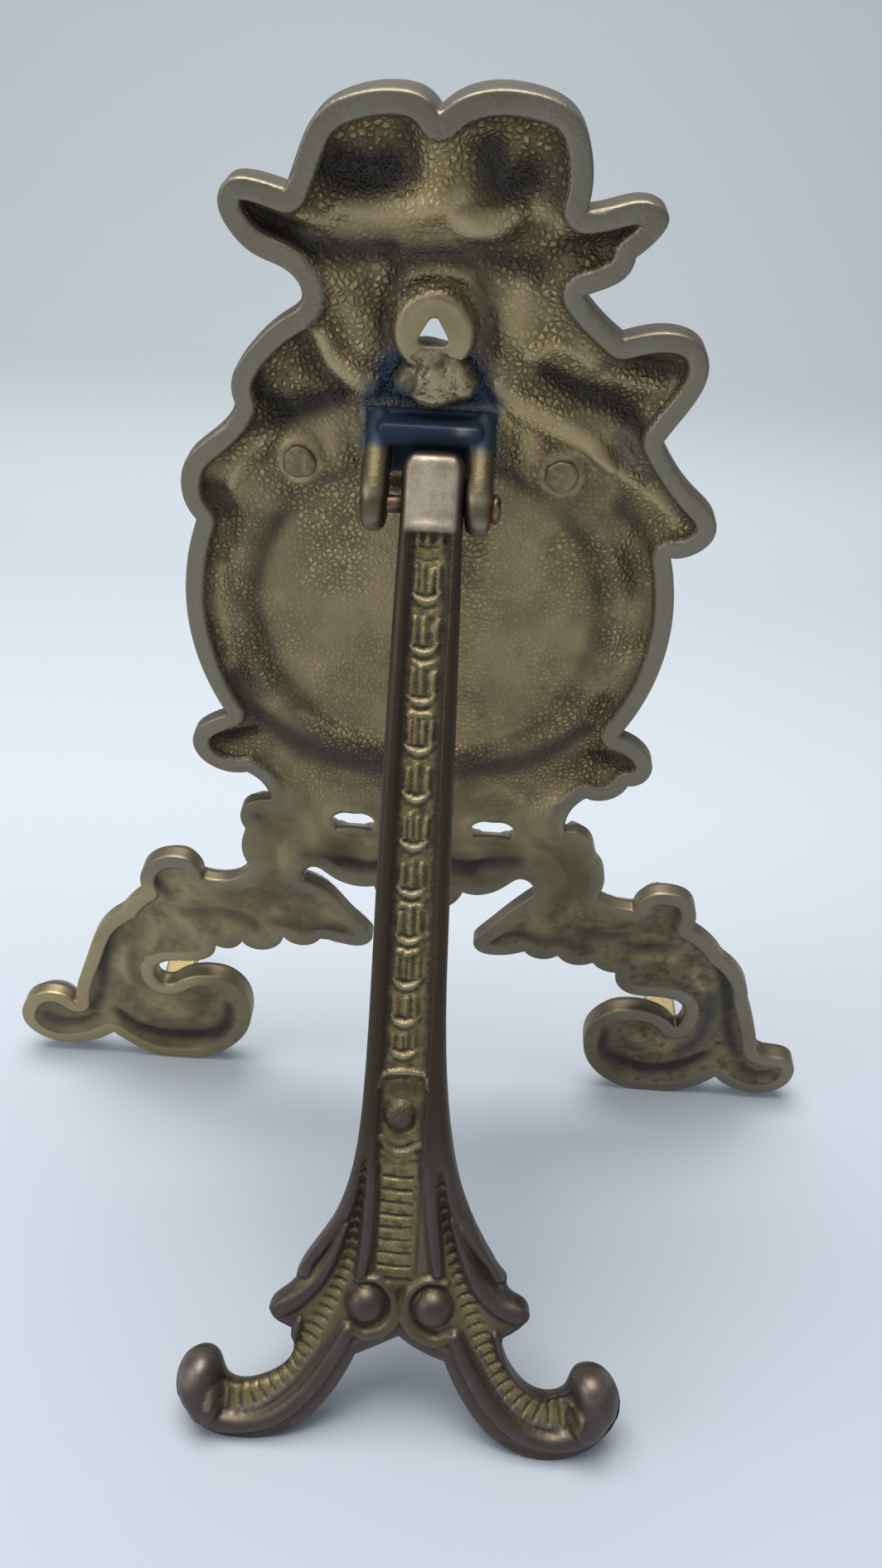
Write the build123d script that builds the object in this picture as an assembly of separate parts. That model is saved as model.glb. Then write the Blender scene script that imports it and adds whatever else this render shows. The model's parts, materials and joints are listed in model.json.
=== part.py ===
from build123d import *
import os
from math import cos, dist, radians, sin

# Cast-brass easel stand for a photo album: a rococo panel on two scroll legs, propped from behind
# by a cast strut that swings on a pin in a brazed bracket. Millimetres, +Z up, the album side
# faces -Y and the strut side +Y. Outlines are drawn as seen from behind: u runs to the viewer's
# right (which is -X), v runs up the panel from the floor line, t runs down the strut from its pin.

# ---- driving dimensions ----
panel_height = 182.9          # crest lobes above the floor line, measured up the panel
panel_width = 160.4           # across the two outer feet
panel_lean = 12.0             # degrees the panel leans back
edge_thickness = 3.4          # cast edge all round
cushion_inset = 1.6           # step that brings the front up from the edge
cushion_height = 2.4          # how far the front relief stands proud of the edge
rim_width = 2.6               # flat filed rim round the hollow back
hollow_depth = 3.6            # floor of the hollow below the rim
crest_thickness = 8.0         # the two crest lobes curl forward
crest_width = 36.6            # across the two crest lobes
crest_height = 11.0           # of the lobes, down from the crest
outline_step = 1.2            # spacing of the points that an inset outline is made from
outline_tolerance = 0.002     # rounding allowed when those points are kept or left out

medallion_height = 112.0      # centre of the round medallion up the panel
medallion_radius = 25.6       # smooth field seen inside the hollow
field_depth = 1.7             # field below the rim
groove_width = 5.4            # annular groove round the field
groove_depth = 4.5            # groove below the rim

eyelet_height = 155.2         # hanging eyelet near the crest
eyelet_radius = 5.3
eyelet_side = 4.6             # three-cornered hole
eyelet_corner = 0.6           # rounding of its corners
slot_spacing = 12.2           # two crescent slots below the medallion, from the centre line
slot_height = 70.6
slot_length = 6.0
slot_width = 3.0              # of the oval that the crescent is cut from
slot_thickness = 2.7          # of the crescent in its middle

hinge_height = 134.6          # strut pin up the panel
hinge_standoff = 6.0          # pin axis behind the rim plane
strut_splay = 19.5            # degrees the open strut leans from upright
strut_width = 66.7            # across the strut's two feet
strut_thickness = 6.0
strut_face = 3.5              # outer face of the strut beyond the pin axis
head_rise = 7.0               # strut head above the pin
head_drop = 6.0               # thick part of the head below the pin
head_round = 2.8              # rounded ends of the head
channel_depth = 1.3           # sunken ornamental channel
channel_width = 4.4
channel_start = 5.0           # below the pin
channel_end = 110.0
knob_radius = 3.1             # two dome knobs over the fork of the feet
knob_drop = 115.6             # below the pin
knob_spacing = 5.2            # from the fork's own centre line
strut_shift = 0.9             # the strut's head sits to the right of the panel's centre line
fork_shift = 2.8              # and its fork further to the right

pin_radius = 1.2
pin_clearance = 0.05          # running fit of the strut on its pin, and of the pin in the ears
pin_head_radius = 2.0
pin_head_height = 1.2
pin_tail = 0.6                # peened end beyond the other ear
ear_thickness = 3.2
ear_radius = 3.5              # rounded ear end about the pin
ear_gap = 11.4                # between the ears
bracket_start = 1.0           # bracket base from just above the pin
bracket_end = 11.6            # to here
bar_height = 3.0              # cross bar that ties the ears
bar_projection = 2.6          # cross bar behind the rim plane
stop_clearance = 0.3          # open strut head to the bracket base
braze_length = 10.4           # brazed lump that holds the bracket's upper edge
braze_width = 8.4
braze_height = 4.2
braze_round = 2.0             # rounded top of the lump
braze_clearance = 0.1         # round the eyelet's boss

ring_radius = 30.4            # medallion ring on the front, at the rivets
ring_width = 5.6
ring_height = 3.2
ring_edge = 1.0               # rounded edges of the ring
rivet_radius = 1.25
rivet_clearance = 0.05
rivet_seat = 1.8              # shank inside the ring
rivet_head_radius = 2.3
rivet_head_height = 0.8
rivet_boss_radius = 3.6
rivet_angles = {"left": 126.9, "right": 53.1, "lower": 270.0}   # degrees round the ring, from behind

rest_inset = 28.2             # album rests in from the outer feet
rest_pad_height = 10.0        # middle of the round pad up the panel
rest_pad_radius = 5.4
rest_pad_thickness = 2.2
rest_width = 6.0
rest_thickness = 3.0
rest_reach = 25.0             # ledge out from the pad
rest_lip = 8.0                # upturned lip above the ledge
rest_lip_thickness = 2.4
rest_bend = 1.1               # rounded corners of ledge and lip

panel_foot_flat = 0.5         # metal filed off under each scroll foot
strut_foot_flat = 1.0         # metal filed off under each strut foot

# ---- outlines, each run going on from the last point of the one before ----
CREST_RIGHT = [
    [(2.3, 181.9), (5.9, 182.9), (11, 182.7), (15.5, 181), (17.8, 177), (17.9, 170.7)],
    [(21.6, 171.6), (25.5, 172.1), (27.8, 170.5), (26.8, 168.1), (24.4, 165.8)],
    [(23.4, 163.3), (21.3, 162), (18.6, 161)],
    [(20.5, 159), (24.2, 156)],
    [(27.6, 156.9), (31.2, 157), (34.4, 155.5), (35.6, 152.4), (34.4, 148), (31.2, 142.5)],
    [(33, 139.6), (36.8, 135.3), (40.1, 132), (40.6, 129.2), (38.6, 126.4), (35, 125.3)],
]
WAIST_RIGHT = [
    [(36.9, 113), (31.7, 92.8)],
    [(34.6, 91.6), (37.2, 89), (38.1, 86.5), (37.4, 84), (34.6, 82.5)],
    [(33.2, 80.3), (30.6, 79), (27.9, 79.3)],
    [(26.3, 77.5), (25.2, 71.4)],
    [(27.4, 71.6), (29.3, 70.6), (30.5, 68.4), (31.3, 65.1)],
    [(32.8, 63), (33.4, 60), (32.6, 56)],
]
LEG_RIGHT = [
    [(35.3, 54.2), (39.6, 53.2)],
    [(40.6, 56.3), (43, 57.9), (46, 58), (48.9, 57), (50.4, 55), (50.9, 49.3)],
    [(54.5, 46.7), (57.8, 42.4)],
    [(61.7, 38.6), (64.8, 30.6)],
    [(67, 25), (69.5, 16.2)],
    [(71, 13.9), (73.6, 13.3), (76.2, 12.9), (78, 11.3), (78.6, 8.6), (77.4, 4.3), (73.6, 1.7),
     (69.4, 1.8), (62.9, 5.9)],
    [(59.6, 2.7), (55, 0.3), (50, -0.5), (45.3, 0.2), (41, 2.4), (37, 6.7), (34.7, 13.5),
     (35.4, 20.1), (38.7, 24.1), (43.4, 25.3), (47.2, 24.8), (52.4, 20.4)],
    [(53.5, 24.5), (52.1, 28.4), (48.1, 29.9), (44, 29.9), (40.6, 31), (38.7, 33.6), (38.7, 36.1)],
]
ARM_RIGHT = [
    [(36.2, 36.4), (33.7, 38.4)],
    [(30.5, 37.5), (26.9, 39.7)],
    [(23.6, 38.5), (20.5, 40.3)],
    [(17.4, 39.1), (14.4, 38.8), (11.8, 39.6), (10.7, 41.4), (12.5, 45), (16.9, 50.9), (21.3, 55.9)],
    [(20.7, 58), (18.7, 59.4), (15.3, 56.8), (11.8, 54.8), (8.2, 55)],
]
PENDANT = [
    [(6.3, 51.7), (3.4, 50), (0, 49.4), (-3.4, 50), (-6.3, 51.7), (-8, 55.2)],
]
ARM_LEFT = [
    [(-11.4, 55), (-15.6, 56.8), (-19.2, 59.1), (-20.8, 57.6), (-20.7, 55.4)],
    [(-16, 52.6), (-11, 45.6), (-8.3, 41), (-9.8, 39.2), (-13.7, 39.1), (-18.4, 39.9)],
    [(-21.4, 37.9), (-25.5, 39.9)],
    [(-27.2, 36.8), (-30.5, 35.8), (-33.6, 37.6)],
    [(-36.3, 35.5), (-39.1, 36.3)],
]
LEG_LEFT = [
    [(-39.6, 33.4), (-41.7, 31.8), (-46.6, 30.9), (-50.6, 29.6), (-52, 26.5), (-51.3, 23.6),
     (-48.7, 23.6)],
    [(-45.4, 26), (-41.6, 26.9), (-37.4, 26), (-34.3, 22.6), (-33.3, 17.4), (-34.2, 11.4),
     (-37.3, 5.9), (-42, 1.9), (-47.3, -0.1), (-51.4, -0.5), (-57, 1.6), (-63, 6.9)],
    [(-67.6, 3.8), (-73.4, 2.4), (-79, 4.2), (-81.8, 9), (-80.8, 14), (-77.6, 17.7), (-74, 18.4),
     (-69.7, 15.6)],
    [(-68.4, 21.4), (-65.3, 29.5), (-61.8, 38), (-56, 44.4)],
    [(-53.8, 47.3), (-51.2, 49.6)],
    [(-51.5, 52.5), (-50.5, 55.8), (-48.3, 58.2), (-45.5, 59.3), (-42.6, 59.1), (-39.7, 54.2)],
    [(-35.6, 54), (-30.7, 58.2)],
]
WAIST_LEFT = [
    [(-31.8, 63), (-30.6, 67.2)],
    [(-31.5, 70), (-30.4, 73), (-28.4, 74.1), (-25.8, 74.4)],
    [(-27, 78.2), (-29.6, 80.4)],
    [(-32.5, 80.2), (-35.8, 81.6), (-38, 84.6), (-37.6, 88.4), (-35, 90.8), (-31.8, 92.4)],
    [(-36.4, 112), (-33.4, 127.1)],
]
CREST_LEFT = [
    [(-35.1, 132), (-33.6, 136.8), (-30.4, 139.7), (-26.4, 144.6)],
    [(-26.6, 148), (-23.9, 152.3), (-21, 155.2), (-17.8, 157.3)],
    [(-16.7, 159.9), (-18.6, 162.2), (-22.5, 163.8), (-25.6, 166.8), (-26.6, 169.8),
     (-25.4, 172.1), (-22.4, 172.5), (-18.3, 171.5)],
    [(-16.4, 176), (-14.2, 179.7), (-10.4, 181.7), (-5, 182.5), (-1.6, 181.8), (0, 180.3)],
]
PANEL_RUNS = (CREST_RIGHT + WAIST_RIGHT + LEG_RIGHT + ARM_RIGHT + PENDANT
              + ARM_LEFT + LEG_LEFT + WAIST_LEFT + CREST_LEFT)

STRUT_SHAFT_RIGHT = [
    [(5.1, 3)],
    [(5.7, 23.7), (6.5, 56), (7.4, 78), (9, 90.5), (11.3, 98.6), (15.1, 105), (18.4, 109.4)],
]
STRUT_FOOT_RIGHT = [
    [(19.3, 111.8), (21.5, 113.2), (22.1, 115.4), (20.6, 117.8), (18.2, 119.4)],
    [(20.9, 125), (25.1, 127.5), (28, 126.8), (29.4, 123.5), (32.3, 122.4), (35.2, 124.6),
     (36.6, 128.8), (35, 134), (30.6, 137.6), (25.4, 138.8), (20, 137.3), (14.4, 132.2),
     (9.8, 123.8)],
    [(7, 122.8), (2.9, 120.3)],
]
STRUT_FOOT_LEFT = [
    [(-0.6, 122.3), (-3.4, 123.8)],
    [(-8.5, 133.1), (-14, 137.7), (-20.6, 139), (-26.3, 137.5), (-29.4, 134.1), (-30.1, 129.3),
     (-28.6, 125.4), (-25.8, 124.1), (-23.7, 125.8), (-22.6, 128.6), (-17.8, 128.6), (-12.7, 123)],
    [(-12.9, 120.4), (-15.7, 118.9), (-16.6, 116.8), (-15, 114.2), (-12.8, 112.2)],
]
STRUT_SHAFT_LEFT = [
    [(-12.6, 110.6), (-11.2, 107.6), (-7.4, 102.1), (-5.2, 95), (-4.1, 82), (-3.9, 56), (-3.7, 23.7),
     (-3.3, 3)],
]
STRUT_RUNS = STRUT_SHAFT_RIGHT + STRUT_FOOT_RIGHT + STRUT_FOOT_LEFT + STRUT_SHAFT_LEFT


# ---- frames and helpers ----
lean = radians(panel_lean)
splay = radians(strut_splay)
pin_y = hinge_height * sin(lean) + hinge_standoff * cos(lean)
pin_z = hinge_height * cos(lean) - hinge_standoff * sin(lean)
panel_plane = Plane(origin=(0, 0, 0), x_dir=(-1, 0, 0), z_dir=(0, cos(lean), -sin(lean)))
strut_plane = Plane(origin=(0, pin_y, pin_z), x_dir=(-1, 0, 0), z_dir=(0, cos(splay), sin(splay)))


def on_panel(shape, u=0.0, v=0.0, height=0.0):
    """Move a shape drawn about the origin to (u, v) on the panel, height behind its rim plane."""
    return panel_plane.location * Pos(u, v, height) * shape


def on_strut(shape, s=0.0, t=0.0, height=0.0):
    """Move a shape drawn about the origin to (s, t) on the strut, height beyond the pin axis."""
    return strut_plane.location * Pos(s, -t, height) * shape


def span(runs, axis):
    """Least and greatest coordinate of the drawn points along one axis."""
    values = [point[axis] for run in runs for point in run]
    return min(values), max(values)


def closed_face(runs, place):
    """A flat face whose edge goes through every run in turn and closes on itself."""
    start = place(runs[-1][-1])
    edges = []
    for run in runs:
        points = [start] + [place(point) for point in run]
        if len(points) == 2:
            edges.append(Line(*points))
        elif len(points) == 3:
            edges.append(ThreePointArc(*points))
        else:
            edges.append(Spline(*points))
        start = points[-1]
    return make_face(Wire(edges))


def inset_face(face, distance):
    """The face shrunk by a distance, with every point nearer to the old edge left out."""
    wire = face.face().outer_wire()
    count = round(wire.length / outline_step)
    samples = [wire.position_at(k / count) for k in range(count)]
    tangents = [wire.tangent_at(k / count) for k in range(count)]
    doubled_area = sum(a.X * b.Y - b.X * a.Y for a, b in zip(samples, samples[1:] + samples[:1]))
    side = distance if doubled_area > 0 else -distance
    old_edge = [(sample.X, sample.Y) for sample in samples]
    kept = []
    for (x, y), tangent in zip(old_edge, tangents):
        point = (x - side * tangent.Y, y + side * tangent.X)
        if min(dist(point, other) for other in old_edge) > distance - outline_tolerance:
            kept.append(point)
    return make_face(Polyline(*kept, close=True))


def slab(face, top, bottom):
    """A face in the drawing plane made solid between two heights."""
    return Pos(0, 0, bottom) * extrude(face, amount=top - bottom)


def post(radius, top, bottom):
    """A round post about the drawing plane's normal between two heights."""
    return slab(Circle(radius), top, bottom)


def cross_rod(radius, length, u=0.0):
    """A rod along the hinge axis, with its middle at u."""
    return Pos(u) * Rot(0, 90, 0) * Cylinder(radius, length)


def keep_above_floor(shape):
    """File off whatever lies below the floor."""
    size = 2 * (panel_height + panel_width)
    return shape - Box(size, size, size, align=(Align.CENTER, Align.CENTER, Align.MAX))


def ring_point(name):
    """Where a medallion-ring rivet stands on the panel."""
    angle = radians(rivet_angles[name])
    return ring_radius * cos(angle), medallion_height + ring_radius * sin(angle)


# ---- panel casting, drawn flat with its rim plane at height 0 and its front below ----
u_low, u_high = span(PANEL_RUNS, 0)
v_low, v_high = span(PANEL_RUNS, 1)
u_scale = panel_width / (u_high - u_low)
v_scale = panel_height / v_high
front = -edge_thickness - cushion_height
bracket_width = ear_gap + 2 * ear_thickness


def panel_point(point):
    """A drawn outline point at the panel's own size; the scroll bottoms reach below the floor."""
    u, v = point
    return u * u_scale, v * v_scale if v > 0 else v / v_low * -panel_foot_flat


def eyelet_hole():
    """The rounded three-cornered hole of the hanging eyelet."""
    hole = Triangle(a=eyelet_side, b=eyelet_side, c=eyelet_side)
    return Pos(0, eyelet_height) * fillet(hole.vertices(), eyelet_corner)


def slot(side):
    """One crescent slot below the medallion, on the side given by its sign."""
    oval = Ellipse(slot_length / 2, slot_width / 2)
    return Pos(side * slot_spacing, slot_height) * (oval - Pos(0, -slot_thickness) * oval)


def braze_foot():
    """The oval that the lump of braze covers, between the bracket's upper edge and the eyelet."""
    middle = hinge_height + bracket_end + braze_width / 2
    return Pos(0, middle) * Ellipse(braze_length / 2, braze_width / 2)


def bracket_foot():
    """The rectangle of the hollow's floor that the hinge bracket and its ears cover."""
    length = ear_radius + bracket_end
    return Pos(0, hinge_height - ear_radius + length / 2) * Rectangle(bracket_width, length)


def make_panel():
    """The panel: an even cast edge, a raised front, a hollow back with a flat rim and its bosses."""
    outline = closed_face(PANEL_RUNS, panel_point)
    body = slab(outline, 0, -edge_thickness)
    body += slab(inset_face(outline, cushion_inset), -edge_thickness, front)
    crest = Pos(0, panel_height) * Rectangle(crest_width, 2 * crest_height)
    body += slab(outline & crest, -edge_thickness, -crest_thickness)
    hollow = slab(inset_face(outline, rim_width), 0, -hollow_depth)
    middle = Pos(0, medallion_height)
    groove_radius = medallion_radius + groove_width
    hollow += middle * post(groove_radius, -field_depth, -groove_depth)
    hollow -= middle * post(medallion_radius, -field_depth, -groove_depth)
    for name in rivet_angles:
        boss = Pos(*ring_point(name))
        hollow -= boss * post(rivet_boss_radius, -field_depth, -groove_depth)
        hollow += boss * post(rivet_boss_radius, 0, -field_depth)
        hollow += boss * post(rivet_radius + rivet_clearance, -field_depth, front)
    hollow -= slab(bracket_foot() + braze_foot(), -hollow_depth, -groove_depth)
    hollow += slab(braze_foot(), 0, -hollow_depth)
    hollow -= Pos(0, eyelet_height) * post(eyelet_radius, 0, -hollow_depth)
    hollow += slab(bracket_foot(), 0, -hollow_depth)
    body -= hollow
    body -= slab(eyelet_hole() + slot(-1) + slot(1), 0, -crest_thickness)
    return keep_above_floor(on_panel(body))


# ---- strut casting, drawn flat with the pin axis at height 0 and its outer face above ----
s_low, s_high = span(STRUT_RUNS, 0)
t_high = span(STRUT_RUNS, 1)[1]
s_scale = strut_width / (s_high - s_low)
strut_back = strut_face - strut_thickness
strut_length = (pin_z + strut_back * sin(splay) + strut_foot_flat) / cos(splay)
t_scale = strut_length / t_high
head_left = STRUT_RUNS[-1][-1][0]
head_right = STRUT_RUNS[0][0][0]
head_width = (head_right - head_left) * s_scale


def strut_point(point):
    """A drawn outline point at the strut's own size, with y up the strut."""
    s, t = point
    return strut_shift + (s - (head_left + head_right) / 2) * s_scale, -t * t_scale


def make_strut():
    """The strut: a pin head, a shaft with a sunken channel, and two hooked feet."""
    body = slab(closed_face(STRUT_RUNS, strut_point), strut_face, strut_back)
    side = fillet(Rectangle(2 * strut_face, head_rise + head_drop).vertices(), head_round)
    head = Rot(0, 90, 0) * Pos(0, (head_rise - head_drop) / 2) * side
    body += Pos(strut_shift) * extrude(head, amount=head_width / 2, both=True)
    channel = SlotOverall(channel_end - channel_start, channel_width, rotation=90)
    middle = -(channel_start + channel_end) / 2
    body -= Pos(strut_shift, middle) * slab(channel, strut_face, strut_face - channel_depth)
    for sign in (-1, 1):
        body += Pos(fork_shift + sign * knob_spacing, -knob_drop, strut_face) * Sphere(knob_radius)
    body -= cross_rod(pin_radius + pin_clearance, 2 * ear_gap)
    return keep_above_floor(on_strut(body))


# ---- hinge, drawn on the panel ----
opening = lean + splay
head_reach = (head_rise - head_round) * sin(opening) + (strut_face - head_round) * cos(opening)
base_top = hinge_standoff - head_reach - head_round - stop_clearance


def across_hinge(profile, width, u=0.0):
    """A profile drawn as (behind the rim plane, up from the pin) run across the hinge."""
    solid = extrude(Rot(0, -90, 0) * profile, amount=width / 2, both=True)
    return Pos(u, hinge_height) * solid


def block(low, high, bottom, top):
    """An across_hinge profile: a rectangle between two heights up the panel and two behind it."""
    return Pos((bottom + top) / 2, (low + high) / 2) * Rectangle(top - bottom, high - low)


def make_bracket():
    """The hinge bracket: a base in the hollow, a cross bar, and two ears that droop to the pin."""
    base = block(bracket_start, bracket_end, -hollow_depth, base_top)
    bar = block(bracket_end - bar_height, bracket_end, -hollow_depth, bar_projection)
    body = across_hinge(base, ear_gap) + across_hinge(bar, ear_gap)
    ear_end = Pos(hinge_standoff, 0) * Circle(ear_radius)
    ear = make_hull(ear_end.edges() + bar.edges() + base.edges())
    for sign in (-1, 1):
        body += across_hinge(ear, ear_thickness, sign * (ear_gap + ear_thickness) / 2)
    hole = cross_rod(pin_radius + pin_clearance, 2 * bracket_width)
    body -= Pos(0, hinge_height, hinge_standoff) * hole
    return on_panel(body)


def make_pin():
    """The hinge pin: a headed rivet through both ears, peened over beyond the left one."""
    shank = cross_rod(pin_radius, bracket_width + pin_tail, -pin_tail / 2)
    head = cross_rod(pin_head_radius, pin_head_height, (bracket_width + pin_head_height) / 2)
    return on_panel(shank + head, 0, hinge_height, hinge_standoff)


def make_braze():
    """The lump of braze that holds the bracket's upper edge."""
    lump = slab(braze_foot(), braze_height - hollow_depth, -hollow_depth)
    lump = fillet(lump.edges().group_by(Axis.Z)[-1], braze_round)
    boss = post(eyelet_radius + braze_clearance, braze_height, -hollow_depth)
    return on_panel(lump - Pos(0, eyelet_height) * boss)


# ---- front of the panel: medallion ring with its rivets, and the album rests ----
def make_ring():
    """The medallion ring, flat on the panel's front, with a blind hole for each rivet."""
    middle = Pos(0, medallion_height)
    body = post(ring_radius + ring_width / 2, front, front - ring_height)
    body -= post(ring_radius - ring_width / 2, front, front - ring_height)
    body = middle * fillet(body.edges().group_by(Axis.Z)[0], ring_edge)
    for name in rivet_angles:
        body -= Pos(*ring_point(name)) * post(rivet_radius + rivet_clearance, front, front - rivet_seat)
    return on_panel(body)


def make_rivet(name):
    """One peened rivet: its head on the boss in the hollow, its shank seated in the ring."""
    body = post(rivet_radius, -field_depth, front - rivet_seat)
    body += post(rivet_head_radius, rivet_head_height - field_depth, -field_depth)
    return on_panel(body, *ring_point(name))


def make_rest(side):
    """One album rest: a round pad brazed to the scroll's front, with a ledge and an upturned lip."""
    pad_front = front - rest_pad_thickness
    tip = pad_front - rest_reach
    ledge_low = rest_pad_height - rest_thickness / 2
    ledge = Pos((front + tip) / 2, rest_pad_height) * Rectangle(front - tip, rest_thickness)
    lip_height = rest_thickness + rest_lip
    lip = Rectangle(rest_lip_thickness, lip_height)
    lip = Pos(tip + rest_lip_thickness / 2, ledge_low + lip_height / 2) * lip
    profile = fillet((ledge + lip).vertices().group_by(Axis.X)[0], rest_bend)
    body = extrude(Rot(0, -90, 0) * profile, amount=rest_width / 2, both=True)
    body += Pos(0, rest_pad_height) * post(rest_pad_radius, front, pad_front)
    return on_panel(body, side * (panel_width / 2 - rest_inset))


nodes = {
    "panel": make_panel(),
    "strut": make_strut(),
    "hinge_bracket": make_bracket(),
    "hinge_pin": make_pin(),
    "bracket_braze": make_braze(),
    "medallion_ring": make_ring(),
    "rest_left": make_rest(-1),
    "rest_right": make_rest(1),
}
for name in rivet_angles:
    nodes[f"ring_rivet_{name}"] = make_rivet(name)

# The origin is the middle of the stand's own box, on the floor.
whole = Compound(list(nodes.values())).bounding_box()
to_origin = Pos(-whole.center().X, -whole.center().Y, 0)
os.makedirs("parts", exist_ok=True)
for name, solid in nodes.items():
    export_step(to_origin * solid, f"parts/{name}.step")

print("size", whole.size, "moved by", -whole.center())
print("strut joint", to_origin * Pos(0, pin_y, pin_z))
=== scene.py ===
"""Dresses the cast-brass album stand: relief, cast skin, patina, painted shade and highlights, and heat stains round
its solids.
"""
import json
import logging
import math
from dataclasses import dataclass, field
from enum import Enum
from typing import Callable, Iterable, Sequence

import bpy
import numpy as np
from mathutils import Matrix, Vector, kdtree, noise
from mathutils.geometry import delaunay_2d_cdt

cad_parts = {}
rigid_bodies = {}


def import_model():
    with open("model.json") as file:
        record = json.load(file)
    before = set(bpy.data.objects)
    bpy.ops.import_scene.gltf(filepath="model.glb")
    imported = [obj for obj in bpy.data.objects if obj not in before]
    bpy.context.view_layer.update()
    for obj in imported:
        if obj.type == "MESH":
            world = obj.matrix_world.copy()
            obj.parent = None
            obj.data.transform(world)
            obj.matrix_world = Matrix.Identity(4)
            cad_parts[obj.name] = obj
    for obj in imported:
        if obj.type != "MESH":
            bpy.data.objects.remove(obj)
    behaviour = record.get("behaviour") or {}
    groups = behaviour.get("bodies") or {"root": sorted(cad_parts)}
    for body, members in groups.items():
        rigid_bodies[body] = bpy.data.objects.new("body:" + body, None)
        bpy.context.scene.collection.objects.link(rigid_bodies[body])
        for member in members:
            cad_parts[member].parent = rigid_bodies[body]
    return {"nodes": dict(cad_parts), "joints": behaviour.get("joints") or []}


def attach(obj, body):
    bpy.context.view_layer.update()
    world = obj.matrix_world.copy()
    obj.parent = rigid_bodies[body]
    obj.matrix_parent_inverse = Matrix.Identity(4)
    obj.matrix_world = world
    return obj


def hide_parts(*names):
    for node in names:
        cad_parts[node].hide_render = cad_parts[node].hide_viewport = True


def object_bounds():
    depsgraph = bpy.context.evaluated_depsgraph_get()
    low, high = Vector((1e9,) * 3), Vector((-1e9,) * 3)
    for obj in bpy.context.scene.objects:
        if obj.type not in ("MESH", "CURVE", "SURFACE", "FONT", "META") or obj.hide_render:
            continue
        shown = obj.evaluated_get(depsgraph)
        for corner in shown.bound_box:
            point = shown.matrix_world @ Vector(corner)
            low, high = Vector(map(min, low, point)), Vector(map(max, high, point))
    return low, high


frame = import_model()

CAD_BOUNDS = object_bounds()
MM = 0.001
# paint layers read by the materials; the dark coat holds soot and painted shade, the coat of the tops holds wear and
# painted highlights
LAYERS = ("pebble", "rim", "soot", "gold", "blue", "brown", "tops")
log = logging.getLogger("album_stand")

Array = np.ndarray
Colour = tuple[float, float, float]
Layers = dict[str, np.ndarray]
Piece = bpy.types.Object
Step = tuple[float, float, float]


# -------- drawing planes

@dataclass(frozen=True)
class Lay:
    """A drawing plane of one casting: across, up and out, in millimetres."""

    origin: Vector
    across: Vector
    up: Vector
    out: Vector

    def matrix(self) -> Matrix:
        """Matrix from the plane's millimetres to metres in the stand's frame."""
        turn = Matrix((self.across, self.up, self.out)).transposed().to_4x4()
        return Matrix.Translation(self.origin) @ turn @ Matrix.Scale(MM, 4)

    def place(self, points: Array) -> Array:
        """Take rows of across, up and out to rows of x, y and z in metres."""
        return np.array(self.origin) + (points @ np.array([self.across, self.up, self.out])) * MM

    def read(self, points: Array) -> Array:
        """Take rows of x, y and z in metres to rows of across, up and out."""
        return (points - np.array(self.origin)) @ np.array([self.across, self.up, self.out]).T / MM


@dataclass(frozen=True)
class StandSetting:
    """How the open stand is set out round its hinge."""

    lean: float = math.radians(12.0)
    splay: float = math.radians(19.5)
    hinge_up: float = 134.6
    hinge_out: float = 6.0

    def tilted(self, lean: float, hinge_up: float = 0.0, hinge_out: float = 0.0) -> Lay:
        """A plane seen from behind.

        Args:
            lean: how far it leans.
            hinge_up: how far up it the hinge lies.
            hinge_out: how far behind it the hinge lies.

        Returns:
            The plane.
        """
        up = Vector((0, math.sin(lean), math.cos(lean)))
        out = Vector((0, math.cos(lean), -math.sin(lean)))
        origin = Vector(frame["joints"][0]["pos_m"]) - (up * hinge_up + out * hinge_out) * MM
        return Lay(origin, Vector((-1, 0, 0)), up, out)

    def panel(self) -> Lay:
        """The panel's rim plane."""
        return self.tilted(self.lean, self.hinge_up, self.hinge_out)

    def strut(self) -> Lay:
        """The strut's plane through the pin."""
        return self.tilted(-self.splay)


# -------- shader maths

class Shade:
    """One socket of a material; arithmetic on it adds Math nodes."""

    def __init__(self, bench: "Bench", socket: bpy.types.NodeSocket) -> None:
        """Wrap an output socket of a material."""
        self.bench, self.socket = bench, socket

    def maths(self, operation: str, *values: "Shade | float", clamp: bool = False) -> "Shade":
        """Add one Math node with its inputs in order, held between 0 and 1 if clamped."""
        settings = {"operation": operation, "use_clamp": clamp}
        return self.bench.add("ShaderNodeMath", settings, dict(enumerate(values)))

    def __add__(self, other: "Shade | float") -> "Shade":
        """Sum."""
        return self.maths("ADD", self, other)

    __radd__ = __add__

    def __mul__(self, other: "Shade | float") -> "Shade":
        """Product."""
        return self.maths("MULTIPLY", self, other)

    __rmul__ = __mul__

    def __sub__(self, other: "Shade | float") -> "Shade":
        """Difference."""
        return self.maths("SUBTRACT", self, other)

    def __rsub__(self, other: "Shade | float") -> "Shade":
        """Reflected difference."""
        return self.maths("SUBTRACT", other, self)

    def held(self) -> "Shade":
        """The value held between 0 and 1."""
        return self.maths("ADD", self, 0.0, clamp=True)

    def step(self, low: float, high: float) -> "Shade":
        """Ease from 0 to 1 as the value goes from low to high."""
        values = {"Value": self, "From Min": low, "From Max": high, "To Min": 0.0, "To Max": 1.0}
        return self.bench.add("ShaderNodeMapRange", {"interpolation_type": "SMOOTHSTEP"}, values)


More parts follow.
